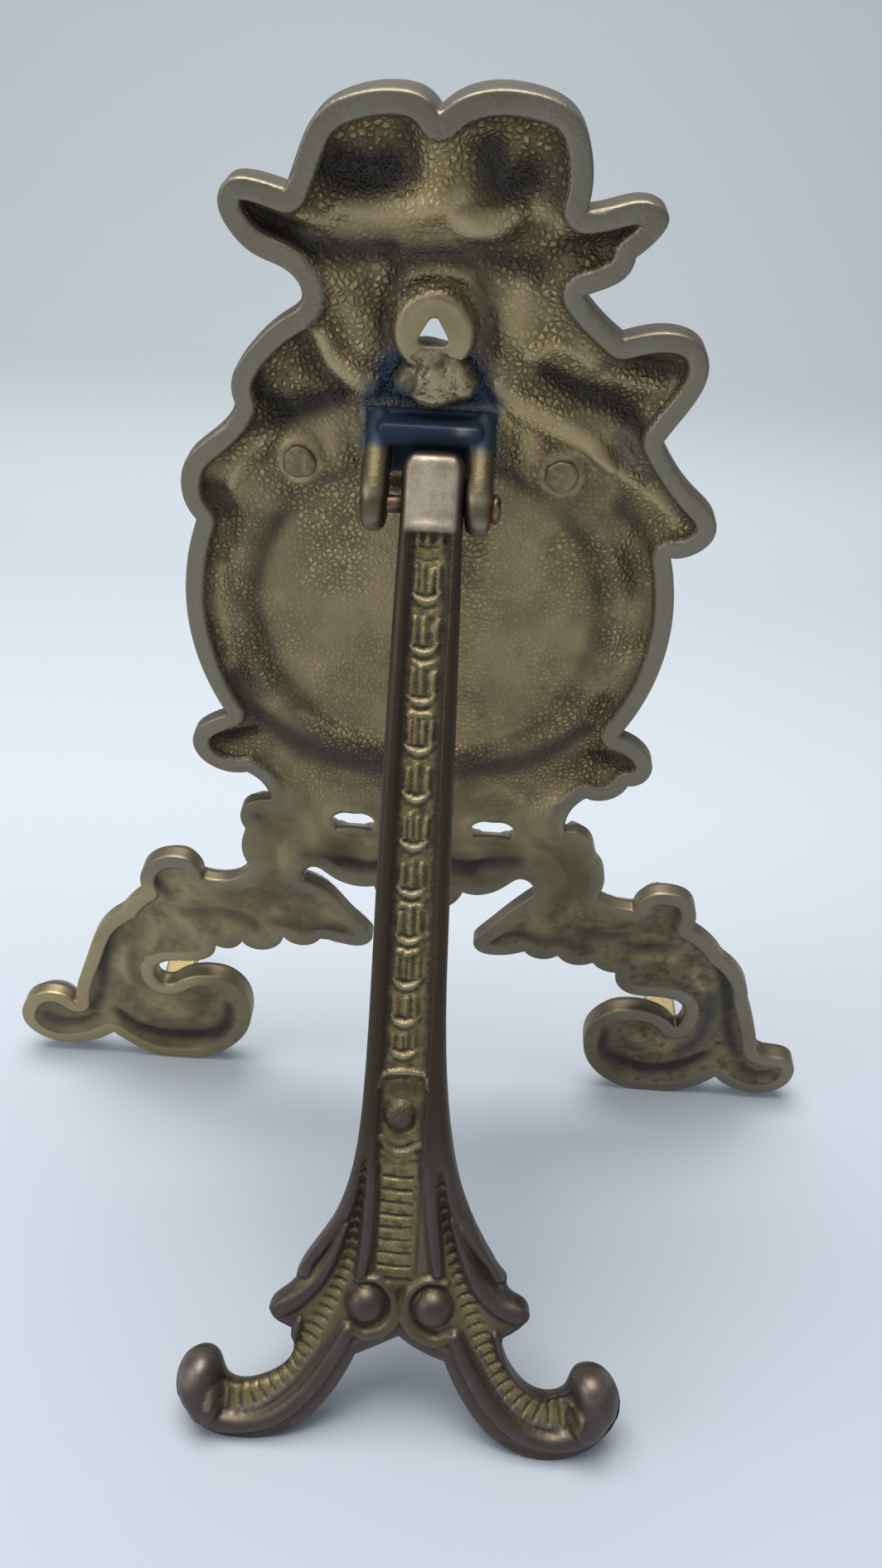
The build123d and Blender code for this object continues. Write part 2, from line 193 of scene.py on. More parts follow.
class Bench:
    """A material under work: adds nodes, links them and ends in one Principled shader."""

    def __init__(self, name: str) -> None:
        """Start an empty node material.

        Args:
            name: the material's name.
        """
        self.material = bpy.data.materials.new(name)
        self.material.use_nodes = True
        self.tree = self.material.node_tree
        self.tree.nodes.clear()

    def add(self, kind: str, settings: dict | None = None, values: dict | None = None,
            result: str | int = 0) -> Shade:
        """Add any node.

        Args:
            kind: the node's type.
            settings: properties, set before its sockets.
            values: numbers, colours or links for its inputs, by name or index.
            result: which output to return.

        Returns:
            The wrapped output.
        """
        node = self.tree.nodes.new(kind)
        for key, value in (settings or {}).items():
            setattr(node, key, value)
        for key, value in (values or {}).items():
            self.feed(node.inputs[key], value)
        return Shade(self, node.outputs[result])

    def feed(self, socket: bpy.types.NodeSocket, value: object) -> None:
        """Give one input its link, number or colour.

        Args:
            socket: the input.
            value: a Shade, a number, or a colour of three numbers.
        """
        if isinstance(value, Shade):
            self.tree.links.new(value.socket, socket)
        else:
            socket.default_value = (*value, 1.0) if socket.type == "RGBA" else value

    def objects(self, scale: Colour | None = None) -> Shade:
        """Object coordinates, stretched by a scale of each axis if one is given."""
        place = self.add("ShaderNodeTexCoord", result="Object")
        return self.add("ShaderNodeMapping", {}, {"Vector": place, "Scale": scale}) if scale else place

    def axis(self, name: str) -> Shade:
        """One object coordinate."""
        return self.add("ShaderNodeSeparateXYZ", {}, {"Vector": self.objects()}, name)

    def cloud(self, cell_mm: float, detail: float = 3.0, rough: float = 0.55,
              scale: Colour | None = None) -> Shade:
        """Soft noise.

        Args:
            cell_mm: size of one lump in millimetres.
            detail: finer levels under it.
            rough: their strength.
            scale: stretch of each axis.

        Returns:
            A value around 0.5.
        """
        values = {"Vector": self.objects(scale), "Scale": 1.0 / (cell_mm * MM), "Detail": detail,
                  "Roughness": rough}
        return self.add("ShaderNodeTexNoise", {}, values, "Fac")

    def painted(self, name: str) -> Shade:
        """A value painted on the mesh's points."""
        return self.add("ShaderNodeAttribute", {"attribute_name": name}, {}, "Fac")

    def blend(self, share: Shade, first: Shade | Colour, second: Shade | Colour) -> Shade:
        """Mix two colours: a share of 0 gives the first, 1 the second."""
        return self.add("ShaderNodeMix", {"data_type": "RGBA"}, {0: share, 6: first, 7: second}, 2)

    def bump(self, height: Shade, depth_mm: float, under: Shade | None = None) -> Shade:
        """Turn a height from 0 to 1 into a bent normal, over another bump if one is given."""
        values = {"Height": height, "Distance": depth_mm * MM, "Strength": 1.0}
        return self.add("ShaderNodeBump", {}, values | ({"Normal": under} if under else {}))

    def finish(self, **values: object) -> bpy.types.Material:
        """End the material in a Principled shader.

        Args:
            values: its inputs, with underscores for spaces.

        Returns:
            The finished material.
        """
        inputs = {key.replace("_", " "): value for key, value in values.items()}
        shader = self.add("ShaderNodeBsdfPrincipled", {}, inputs)
        out = self.tree.nodes.new("ShaderNodeOutputMaterial")
        self.tree.links.new(shader.socket, out.inputs["Surface"])
        return self.material


# -------- finishes

@dataclass(frozen=True)
class CastBrass:
    """Old cast brass: olive skin with leathery pebbles, filed rim, soot and painted shade, blueing, and worn tops with
    painted highlights.
    """

    name: str = "cast_brass"
    skin: Colour = (0.314, 0.246, 0.134)
    shade: Colour = (0.170, 0.135, 0.078)
    gold: Colour = (0.500, 0.385, 0.185)
    # dark of the pebble creases: grime and painted shade
    crease: Colour = (0.075, 0.055, 0.030)
    filed: Colour = (0.228, 0.205, 0.152)
    # colour of worn tops and of painted highlights
    worn_and_highlight: Colour = (0.500, 0.425, 0.340)
    # dark coat: real soot in the hollows and painted shade in recesses, creases and under edges
    soot: Colour = (0.047, 0.039, 0.031)
    haze: Colour = (0.075, 0.084, 0.095)
    blued: Colour = (0.028, 0.046, 0.076)
    brown: Colour = (0.095, 0.072, 0.058)
    pebble_mm: float = 0.88
    pebble_depth: float = 0.28
    grain_depth: float = 0.05

    def make(self) -> bpy.types.Material:
        """Build the material.

        Returns:
            The material, which reads the painted layers.
        """
        b = Bench(self.name)
        wide, mid, fine = b.cloud(13.0, 4.0), b.cloud(3.0, 5.0, 0.62), b.cloud(0.5, 3.0)
        scratch = b.cloud(0.9, 2.0, 0.6, (1.0, 0.12, 0.12))
        cells = {"Vector": b.objects(), "Scale": 1.0 / (self.pebble_mm * MM), "Randomness": 0.95}
        edge = b.add("ShaderNodeTexVoronoi", {"feature": "DISTANCE_TO_EDGE"}, cells, "Distance")
        crease, dome = 1.0 - edge.step(0.01, 0.15), edge.step(0.05, 0.34)
        pebble, rim, soot, gold, blue, brown, tops = (b.painted(name) for name in LAYERS)
        pebble = pebble * (1.0 - gold * 0.75)
        ragged = (mid - 0.5) * 0.75 + (wide - 0.5) * 0.5
        patch = (mid * 0.6 + wide * 0.5).step(0.50, 0.62)
        stain = b.blend(blue.step(0.2, 0.8), self.haze, self.blued)
        colour = b.blend(wide.step(0.36, 0.64), self.shade, self.skin)
        # the pebbles' tops turn gold, as patina and painted highlight, and their creases dark, as grime and painted
        # shade
        for cover, coat in (
                (gold + ragged * gold * 1.3 + dome * pebble * (0.34 + patch * 0.62), self.gold),
                (crease * pebble * (0.95 - patch * 0.30), self.crease),
                (brown * 1.05 + ragged * 0.6 * brown, self.brown),
                (soot * 1.05 + ragged * soot * 1.2, self.soot),
                (rim * (0.86 + (mid - 0.5) * 1.3 + (wide - 0.5) * 0.7), self.filed),
                (blue * 1.3 + ragged * blue * 1.4, stain),
                (tops * (0.75 + (mid - 0.5) * 1.6), self.worn_and_highlight)):
            colour = b.blend(cover.held(), colour, coat)
        rough = 0.45 + (fine - 0.5) * 0.24 + (wide - 0.5) * 0.16
        rough = rough + tops * 0.02 + blue * 0.04 + brown * 0.02
        rough = (rough + soot * 0.12 + (scratch - 0.5) * rim * 0.25).held()
        grain = fine * (1.0 - rim * 0.75 - brown * 0.6) + scratch * (rim + tops * 1.2) * 0.3
        pebbled = b.bump(dome * pebble, self.pebble_depth)
        return b.finish(Base_Color=colour, Metallic=0.88 - soot * 0.35 - blue * 0.25, Roughness=rough,
                        Normal=b.bump(grain.held(), self.grain_depth, pebbled))


@dataclass(frozen=True)
class PlainMetal:
    """A small metal piece's finish: one colour clouded by a second, with fine tool marks."""

    name: str
    light: Colour
    dark: Colour
    rough: float
    lump_mm: float = 1.6
    depth_mm: float = 0.05
    metal: float = 0.9

    def make(self) -> bpy.types.Material:
        """Build the material.

        Returns:
            The material.
        """
        b = Bench(self.name)
        lumps, fine = b.cloud(self.lump_mm, 4.0), b.cloud(0.35, 3.0)
        colour = b.blend(lumps.step(0.36, 0.64), self.dark, self.light)
        rough = (self.rough + (fine - 0.5) * 0.3 + (lumps - 0.5) * 0.2).held()
        normal = b.bump(lumps * 0.6 + fine * 0.4, self.depth_mm)
        return b.finish(Base_Color=colour, Metallic=self.metal, Roughness=rough, Normal=normal)


# -------- relief marks

class Form(Enum):
    """How a mark changes the surface."""

    SOFT = "a soft swell or hollow, added"
    ROLL = "a half-round that stands on the ground"
    CUT = "a narrow cut with a sharp bottom"
    DOME = "a half-round whose top lies at a set height"

    def profile(self, x: Array) -> Array:
        """Height across the form.

        Args:
            x: distance from its middle, as a share of its half-width.

        Returns:
            The height, 1 in the middle.
        """
        if self is Form.SOFT:
            return np.exp(-1.6 * np.minimum(x, 5) ** 2)
        return np.clip(1 - x, 0, 1) if self is Form.CUT else np.sqrt(np.clip(1 - x * x, 0, 1))


@dataclass(frozen=True)
class Mark:
    """One stroke of relief and colour; its path gives across, up and half-width in millimetres."""

    path: tuple[Step, ...]
    rise: float
    form: Form
    paint: dict[str, float]


def marker(form: Form, **own: float) -> Callable[..., Mark]:
    """A maker of marks of one form.

    Args:
        form: how they change the surface.
        own: their own paint, beside what each is given.

    Returns:
        A function of rise, path and paint.
    """
    def make(rise: float, *path: Step, **paint: float) -> Mark:
        """One mark."""
        return Mark(path, rise, form, own | paint)
    return make


soft, roll, cut = marker(Form.SOFT), marker(Form.ROLL), marker(Form.CUT)
# dark: a soft hollow darkened with soot and painted shade; light: a soft swell turned gold
dark, light = marker(Form.SOFT, soot=0.8, gold=-0.8), marker(Form.SOFT, gold=0.7, soot=-0.5)
bare = marker(Form.DOME, brown=1.0, gold=-1.0, soot=-0.8)
cup = marker(Form.DOME, brown=0.55, gold=0.45, soot=-0.5)


def eased(path: Sequence[Step], parts: int = 4) -> Array:
    """Run a smooth curve through a path's points.

    Args:
        path: across, up and half-width of each point.
        parts: pieces that each run is divided into.

    Returns:
        The denser path.
    """
    points = np.array(path, dtype=float)
    if len(points) < 3:
        return points
    ends = np.vstack([2 * points[0] - points[1], points, 2 * points[-1] - points[-2]])
    rows = []
    for k in range(1, len(ends) - 2):
        a, b, c, d = ends[k - 1:k + 3]
        for part in range(parts):
            x = part / parts
            rows.append(0.5 * (2 * b + (c - a) * x + (2 * a - 5 * b + 4 * c - d) * x * x
                               + (3 * b - a - 3 * c + d) * x ** 3))
    return np.array([*rows, points[-1]])


def nearness(points: Array, path: Sequence[Step]) -> Array:
    """Distance of points from a path, as a share of the path's half-width there.

    Args:
        points: rows of across and up.
        path: the path.

    Returns:
        0 on the path, 1 at its half-width, and 9 well away from it.
    """
    curve, far = eased(path), 9.0
    reach = 2.6 * curve[:, 2].max()
    low, high = curve[:, :2].min(0) - reach, curve[:, :2].max(0) + reach
    near = np.all((points > low) & (points < high), axis=1)
    result, close = np.full(len(points), far), points[near]
    best = np.full(len(close), far)
    if len(curve) == 1:
        best = np.hypot(*(close - curve[0, :2]).T) / curve[0, 2]
    for start, end in zip(curve[:-1], curve[1:]):
        run = end[:2] - start[:2]
        share = np.clip(((close - start[:2]) @ run) / max(run @ run, 1e-9), 0, 1)
        width = start[2] + share * (end[2] - start[2])
        gap = np.hypot(*(close - start[:2] - share[:, None] * run).T)
        best = np.minimum(best, gap / width)
    result[near] = best
    return result


def smooth(low: float | Array, high: float, value: Array) -> Array:
    """Ease from 0 to 1 as a value goes from low to high."""
    x = np.clip((value - low) / (high - low), 0, 1)
    return x * x * (3 - 2 * x)


def bell(value: Array, width: float | Array) -> Array:
    """1 where a value is 0, falling off over a width."""
    return np.exp(-(value / width) ** 2)


def drop_off(radius: float | Array, gap: Array) -> Array:
    """How far a rounded edge of some radius has dropped at a gap from it."""
    return radius - np.sqrt(np.clip(radius ** 2 - np.clip(radius - gap, 0, radius) ** 2, 0, None))


def blended(one: Array, other: Array, ease: float) -> Array:
    """The greater of two heights, eased where they meet."""
    share = np.clip(0.5 + 0.5 * (one - other) / ease, 0, 1)
    return other * (1 - share) + one * share + ease * share * (1 - share)


def bumps(points: Array, size: float, seed: float) -> Array:
    """Slow unevenness of a cast surface, from about -1 to 1, with lumps of a size in millimetres."""
    return np.array([noise.noise(Vector((a / size, b / size, seed))) for a, b in points])


def apply_marks(points: Array, height: Array, paint: Layers, marks: Iterable[Mark]) -> Array:
    """Put marks on a surface in order.

    Args:
        points: rows of across and up.
        height: the surface's height before.
        paint: painted values by name, changed in place.
        marks: the marks.

    Returns:
        The height after.
    """
    height = height.copy()
    for mark in marks:
        x = nearness(points, mark.path)
        profile = mark.form.profile(x)
        if mark.form is Form.DOME:
            near = x < 1
            dome = mark.rise - max(step[2] for step in mark.path) * (1 - profile)
            height[near] = blended(height[near], dome[near], 0.25)
        else:
            height += mark.rise * profile
        cover = np.exp(-1.4 * np.minimum(x, 5) ** 3)
        for name, amount in mark.paint.items():
            if amount >= 0:
                paint[name] = np.maximum(paint[name], amount * cover)
            else:
                paint[name] = paint[name] * (1 + amount * cover)
    return height


# -------- meshes

def take(*pieces: Piece) -> None:
    """Select some pieces and nothing else, the first of them active."""
    bpy.ops.object.select_all(action="DESELECT")
    for piece in pieces:
        piece.select_set(True)
    bpy.context.view_layer.objects.active = pieces[0] if pieces else None


def apply_all(piece: Piece) -> None:
    """Apply every modifier of a piece."""
    take(piece)
    for modifier in list(piece.modifiers):
        bpy.ops.object.modifier_apply(modifier=modifier.name)


def in_edit(piece: Piece, operator: Callable[..., object], **values: object) -> None:
    """Run one edit-mode operator on the whole of a piece.

    Args:
        piece: the piece.
        operator: the operator.
        values: its settings.
    """
    take(piece)
    bpy.ops.object.mode_set(mode="EDIT")
    bpy.ops.mesh.select_all(action="SELECT")
    operator(**values)
    bpy.ops.object.mode_set(mode="OBJECT")


def run_together(piece: Piece, voxel: float, rounds: int) -> None:
    """Fuse a piece and ease its corners.

    Args:
        piece: the piece.
        voxel: fineness of its new mesh.
        rounds: how much its corners are eased.
    """
    remesh = piece.modifiers.new("skin", "REMESH")
    remesh.mode = "VOXEL"
    remesh.voxel_size = voxel
    ease = piece.modifiers.new("ease", "SMOOTH")
    ease.factor = 0.5
    ease.iterations = rounds
    apply_all(piece)
    piece.data.shade_smooth()


def new_object(name: str, vertices: Array, faces: Sequence[Sequence[int]]) -> Piece:
    """Make a smooth-shaded mesh object at the origin.

    Args:
        name: the object's name.
        vertices: rows of x, y and z in metres.
        faces: vertex numbers of each face.

    Returns:
        The object, in the scene.
    """
    mesh = bpy.data.meshes.new(name)
    mesh.from_pydata(vertices.tolist(), [], [list(face) for face in faces])
    mesh.validate()
    mesh.shade_smooth()
    piece = bpy.data.objects.new(name, mesh)
    bpy.context.scene.collection.objects.link(piece)
    return piece


def paint_points(piece: Piece, paint: dict[str, Array | float]) -> None:
    """Store painted values on a mesh's points.

    Args:
        piece: the mesh object.
        paint: its values by layer, 0 where one is left out.
    """
    unpainted = np.zeros(len(piece.data.vertices))
    for name in LAYERS:
        layer = piece.data.attributes.new(name, "FLOAT", "POINT")
        values = np.clip(paint.get(name, 0.0) + unpainted, 0, 1)
        layer.data.foreach_set("value", values.astype(np.float32))


def get_points(piece: Piece) -> Array:
    """A piece's vertices as rows of x, y and z.

    Args:
        piece: the mesh object.

    Returns:
        Its vertices.
    """
    flat = np.empty(len(piece.data.vertices) * 3)
    piece.data.vertices.foreach_get("co", flat)
    return flat.reshape(-1, 3)


def set_points(piece: Piece, points: Array) -> None:
    """Move a piece's vertices to rows of x, y and z."""
    piece.data.vertices.foreach_set("co", points.ravel())
    piece.data.update()


def flat_outline(node: str, lay: Lay, height: float) -> Array:
    """The outer edge of a CAD node's flat face, in its drawing plane.

    Args:
        node: the CAD node.
        lay: its drawing plane.
        height: the face's height in millimetres.

    Returns:
        Points round the edge, anticlockwise.
    """
    source = frame["nodes"][node]
    points, mesh = lay.read(get_points(source)), source.data
    mesh.calc_loop_triangles()
    corners = np.empty(len(mesh.loop_triangles) * 3, dtype=np.int64)
    mesh.loop_triangles.foreach_get("vertices", corners)
    keys = np.round(points * 1000).astype(np.int64)
    _, first, merged = np.unique(keys, axis=0, return_index=True, return_inverse=True)
    triangles, points = merged.reshape(-1)[corners].reshape(-1, 3), points[first]
    flat = triangles[np.all(np.abs(points[triangles][:, :, 2] - height) < 0.01, axis=1)]
    whole = {tuple(run) for run in np.vstack([flat[:, [0, 1]], flat[:, [1, 2]], flat[:, [2, 0]]]).tolist()}
    after = {a: b for a, b in whole if (b, a) not in whole}
    loops = []
    while after:
        start, here = after.popitem()
        loop = [start]
        while here != start and here in after:
            loop.append(here)
            here = after.pop(here)
        loops.append(points[loop][:, :2])
    outline = max(loops, key=lambda loop: np.ptp(loop[:, 0]) + np.ptp(loop[:, 1]))
    return outline if signed_area(outline) > 0 else outline[::-1]


def signed_area(loop: Array) -> float:
    """Area inside a loop, positive where it runs anticlockwise."""
    x, y = loop.T
    return 0.5 * float(np.sum(x * np.roll(y, -1) - np.roll(x, -1) * y))


def respaced(loop: Array, step: float, sharp: float = 32.0) -> tuple[Array, Array]:
    """Space a loop's points evenly and smooth it between its cusps.

    Args:
        loop: the closed loop.
        step: the new spacing.
        sharp: turn in degrees from which a point is a cusp and stays.

    Returns:
        The new points, and whether each is a cusp.
    """
    into, out = loop - np.roll(loop, 1, 0), np.roll(loop, -1, 0) - loop
    turn = np.degrees(np.arctan2(into[:, 0] * out[:, 1] - into[:, 1] * out[:, 0], (into * out).sum(1)))
    cusps = np.flatnonzero(np.abs(turn) > sharp)
    if len(cusps) == 0:
        cusps = np.array([0])
    points, corner = [], []
    for start, end in zip(cusps, np.roll(cusps, -1)):
        stop = end if end > start else end + len(loop)
        run = loop[np.arange(start, stop + 1) % len(loop)]
        length = np.concatenate([[0], np.cumsum(np.hypot(*np.diff(run, axis=0).T))])
        count = max(int(round(length[-1] / step)), 2)
        at = np.linspace(0, length[-1], count + 1)
        even = np.column_stack([np.interp(at, length, run[:, k]) for k in range(2)])
        for _ in range(2):
            even[1:-1] = 0.25 * even[:-2] + 0.5 * even[1:-1] + 0.25 * even[2:]
        points.extend(even[:-1])
        corner.extend([True] + [False] * (count - 1))
    return np.array(points), np.array(corner)


def inside(points: Array, loop: Array) -> Array:
    """Whether each point lies inside a closed loop.

    Args:
        points: rows of across and up.
        loop: the loop.

    Returns:
        True or False for each point.
    """
    result = np.zeros(len(points), dtype=bool)
    x, y = points.T
    for (x0, y0), (x1, y1) in zip(loop, np.roll(loop, -1, 0)):
        if y0 != y1:
            crosses = (y0 > y) != (y1 > y)
            result ^= crosses & (x < (x1 - x0) * (y - y0) / (y1 - y0) + x0)
    return result


def tree_of(points: Array) -> kdtree.KDTree:
    """A search tree over flat points.

    Args:
        points: rows of across and up.

    Returns:
        The tree.
    """
    tree = kdtree.KDTree(len(points))
    for k, (a, b) in enumerate(points):
        tree.insert((a, b, 0), k)
    tree.balance()
    return tree


def gaps(points: Array, tree: kdtree.KDTree) -> Array:
    """Each point's distance from the nearest point of a tree."""
    return np.array([tree.find((a, b, 0))[2] for a, b in points])


def inner_ring(loop: Array, corner: Array, distance: float, tree: kdtree.KDTree, step: float) -> Array:
    """Points at one distance inside a loop, fanned round its inward cusps.

    Args:
        loop: the anticlockwise loop.
        corner: which of its points are cusps.
        distance: how far inside.
        tree: search tree of the loop's points.
        step: least spacing wanted.

    Returns:
        The ring's points.
    """
    along = np.roll(loop, -1, 0) - np.roll(loop, 1, 0)
    along /= np.hypot(*along.T)[:, None]
    normal = np.column_stack([-along[:, 1], along[:, 0]])
    wanted = list(loop[~corner] + distance * normal[~corner])
    for k in np.flatnonzero(corner):
        before = loop[k] - loop[k - 1]
        after = loop[(k + 1) % len(loop)] - loop[k]
        first, last = math.atan2(before[1], before[0]), math.atan2(after[1], after[0])
        swing = (last - first + math.pi) % (2 * math.pi) - math.pi
        for share in np.linspace(0, 1, max(int(abs(swing) * distance / step), 1) + 2):
            angle = first + swing * share + math.pi / 2
            wanted.append(loop[k] + distance * np.array([math.cos(angle), math.sin(angle)]))
    kept: list[Array] = []
    for point, gap in zip(wanted, gaps(np.array(wanted), tree)):
        if gap > distance * 0.985 and (not kept or np.hypot(*(point - kept[-1])) > 0.45 * step):
            kept.append(point)
    return np.array(kept)


@dataclass
class Casting:
    """A flat casting meshed through its outline, with relief on both faces."""

    name: str
    lay: Lay
    outline: Array
    spacing: float
    rings: tuple[float, ...]
    holes: Sequence[Array] = ()
    points: Array = field(init=False)
    gap: Array = field(init=False)
    triangles: Array = field(init=False)
    walls: list[Array] = field(init=False)

    def scatter(self, tree: kdtree.KDTree) -> tuple[Array, list[Array], Array]:
        """Spread points along the edges, in rings inside them and over the rest.

        Args:
            tree: search tree of the outline.

        Returns:
            The points, the closed loops among them, and the known edge gaps of the first points.
        """
        outline, corner = respaced(self.outline, self.spacing)
        parts, known = [outline], [np.zeros(len(outline))]
        loops = [np.arange(len(outline))]
        for hole in self.holes:
            loop = respaced(hole, self.spacing * 0.8)[0]
            loops.append(np.arange(len(loop)) + sum(map(len, parts)))
            parts.append(loop)
            known.append(gaps(loop, tree))
        for distance in self.rings:
            ring = inner_ring(outline, corner, distance, tree, self.spacing)
            parts.append(ring)
            known.append(np.full(len(ring), distance))
        fixed, rows = np.vstack(parts), []
        low, high = outline.min(0), outline.max(0)
        for k, up in enumerate(np.arange(low[1], high[1], self.spacing * math.sqrt(3) / 2)):
            row = np.arange(low[0] + (k % 2) * self.spacing / 2, high[0], self.spacing)
            rows.append(np.column_stack([row, np.full(len(row), up)]))
        grid = np.vstack(rows)
        grid = grid[inside(grid, outline)]
        grid = grid[gaps(grid, tree_of(fixed)) > 0.62 * self.spacing]
        points = np.vstack([fixed, grid])
        for hole in self.holes:
            points = points[~inside(points, hole) | (np.arange(len(points)) < len(fixed))]
        return points, loops, np.concatenate(known)

    def fill(self) -> None:
        """Spread points over the face and triangulate them."""
        tree = tree_of(respaced(self.outline, self.spacing / 3)[0])
        points, loops, known = self.scatter(tree)
        edges = [(int(a), int(b)) for loop in loops for a, b in zip(loop, np.roll(loop, -1))]
        made = delaunay_2d_cdt([Vector(p) for p in points.tolist()], edges, [], 0, 1e-6)
        source = np.array([sources[0] for sources in made[3]])
        triangles = source[np.array(made[2])]
        middle = points[triangles].mean(1)
        keep = inside(middle, points[loops[0]])
        for loop in loops[1:]:
            keep &= ~inside(middle, points[loop])
        triangles = triangles[keep]
        a, b, c = (points[triangles[:, k]] for k in range(3))
        turned = (b - a)[:, 0] * (c - a)[:, 1] - (b - a)[:, 1] * (c - a)[:, 0] < 0
        triangles[turned] = triangles[turned][:, ::-1]
        self.points, self.triangles = points, triangles
        self.gap = np.concatenate([known, gaps(points[len(known):], tree)])
        self.walls = loops[:1] + [loop if signed_area(points[loop]) < 0 else loop[::-1]
                                  for loop in loops[1:]]
        log.info("%s: %d points, %d triangles a face", self.name, len(points), len(triangles))

    def close(self, back: Array, front: Array, wall_rings: int) -> Piece:
        """Join the two faces with walls.

        Args:
            back: height of the near face at each point.
            front: height of the far face at each point.
            wall_rings: rings of points between them.

        Returns:
            The closed mesh object.
        """
        count = len(self.points)
        rows = [np.column_stack([self.points, back]), np.column_stack([self.points, front])]
        faces = self.triangles.tolist() + (self.triangles[:, ::-1] + count).tolist()
        base = 2 * count
        for loop in self.walls:
            rings = [loop]
            for k in range(1, wall_rings + 1):
                share = k / (wall_rings + 1)
                height = back[loop] * (1 - share) + front[loop] * share
                rows.append(np.column_stack([self.points[loop], height]))
                rings.append(np.arange(base, base + len(loop)))
                base += len(loop)
            rings.append(loop + count)
            for upper, lower in zip(rings[:-1], rings[1:]):
                quads = np.column_stack([upper, lower, np.roll(lower, -1), np.roll(upper, -1)])
                faces.extend(quads.tolist())
        return new_object(self.name, self.lay.place(np.vstack(rows)), faces)

    def spread(self, piece: Piece, near: Layers, far: Layers) -> tuple[Layers, Array]:
        """Carry the paint of both faces over to the closed mesh.

        Args:
            piece: the closed mesh.
            near: paint of the near face, which the walls take on too.
            far: paint of the far face.

        Returns:
            The mesh's paint, and which of its points belong to the walls alone.
        """
        total, faces = len(piece.data.vertices), 2 * len(self.points)
        rings = (total - faces) // sum(map(len, self.walls))
        layers = {name: np.concatenate([near[name], far[name], *(near[name][loop] for loop in self.walls
                                                                 for _ in range(rings))])
                  for name in LAYERS}
        return layers, np.arange(total) >= faces

    def eased(self, values: Array, rounds: int) -> Array:
        """Average values with their neighbours'.

        Args:
            values: one value for each point.
            rounds: how widely they are averaged.

        Returns:
            The averaged values.
        """
        pairs = np.vstack([self.triangles[:, [0, 1]], self.triangles[:, [1, 2]], self.triangles[:, [2, 0]]])
        pairs, count = np.vstack([pairs, pairs[:, ::-1]]), len(self.points)
        weight = np.maximum(np.bincount(pairs[:, 0], minlength=count), 1)
        level = values.copy()
        for _ in range(rounds):
            level = 0.5 * level + 0.5 * np.bincount(pairs[:, 0], level[pairs[:, 1]], count) / weight
        return level


class Skin:
    """One face of a casting under work: its points, height and paint."""

    def __init__(self, casting: Casting) -> None:
        """Start a bare, level face.

        Args:
            casting: the filled casting.
        """
        self.casting, self.points, self.gap = casting, casting.points, casting.gap
        self.across, self.up = self.points.T
        self.height = np.zeros(len(self.points))
        self.paint: Layers = {name: np.zeros(len(self.points)) for name in LAYERS}

    def lumps(self, size: float, seed: float) -> Array:
        """Unevenness with lumps of a size."""
        return bumps(self.points, size, seed)

    def away(self, across: float, up: float) -> Array:
        """Distance of each point from one place."""
        return np.hypot(self.across - across, self.up - up)

    def add(self, name: str, value: Array) -> None:
        """Raise a paint layer to a value."""
        self.paint[name] = np.maximum(self.paint[name], value)

    def thin(self, share: Array, *names: str) -> None:
        """Take a share of some paint layers away."""
        self.paint |= {name: self.paint[name] * (1 - share) for name in names}

    def settle(self, level: float | Array, share: Array) -> None:
        """Bring the height to a level by a share."""
        self.height = self.height * (1 - share) + level * share
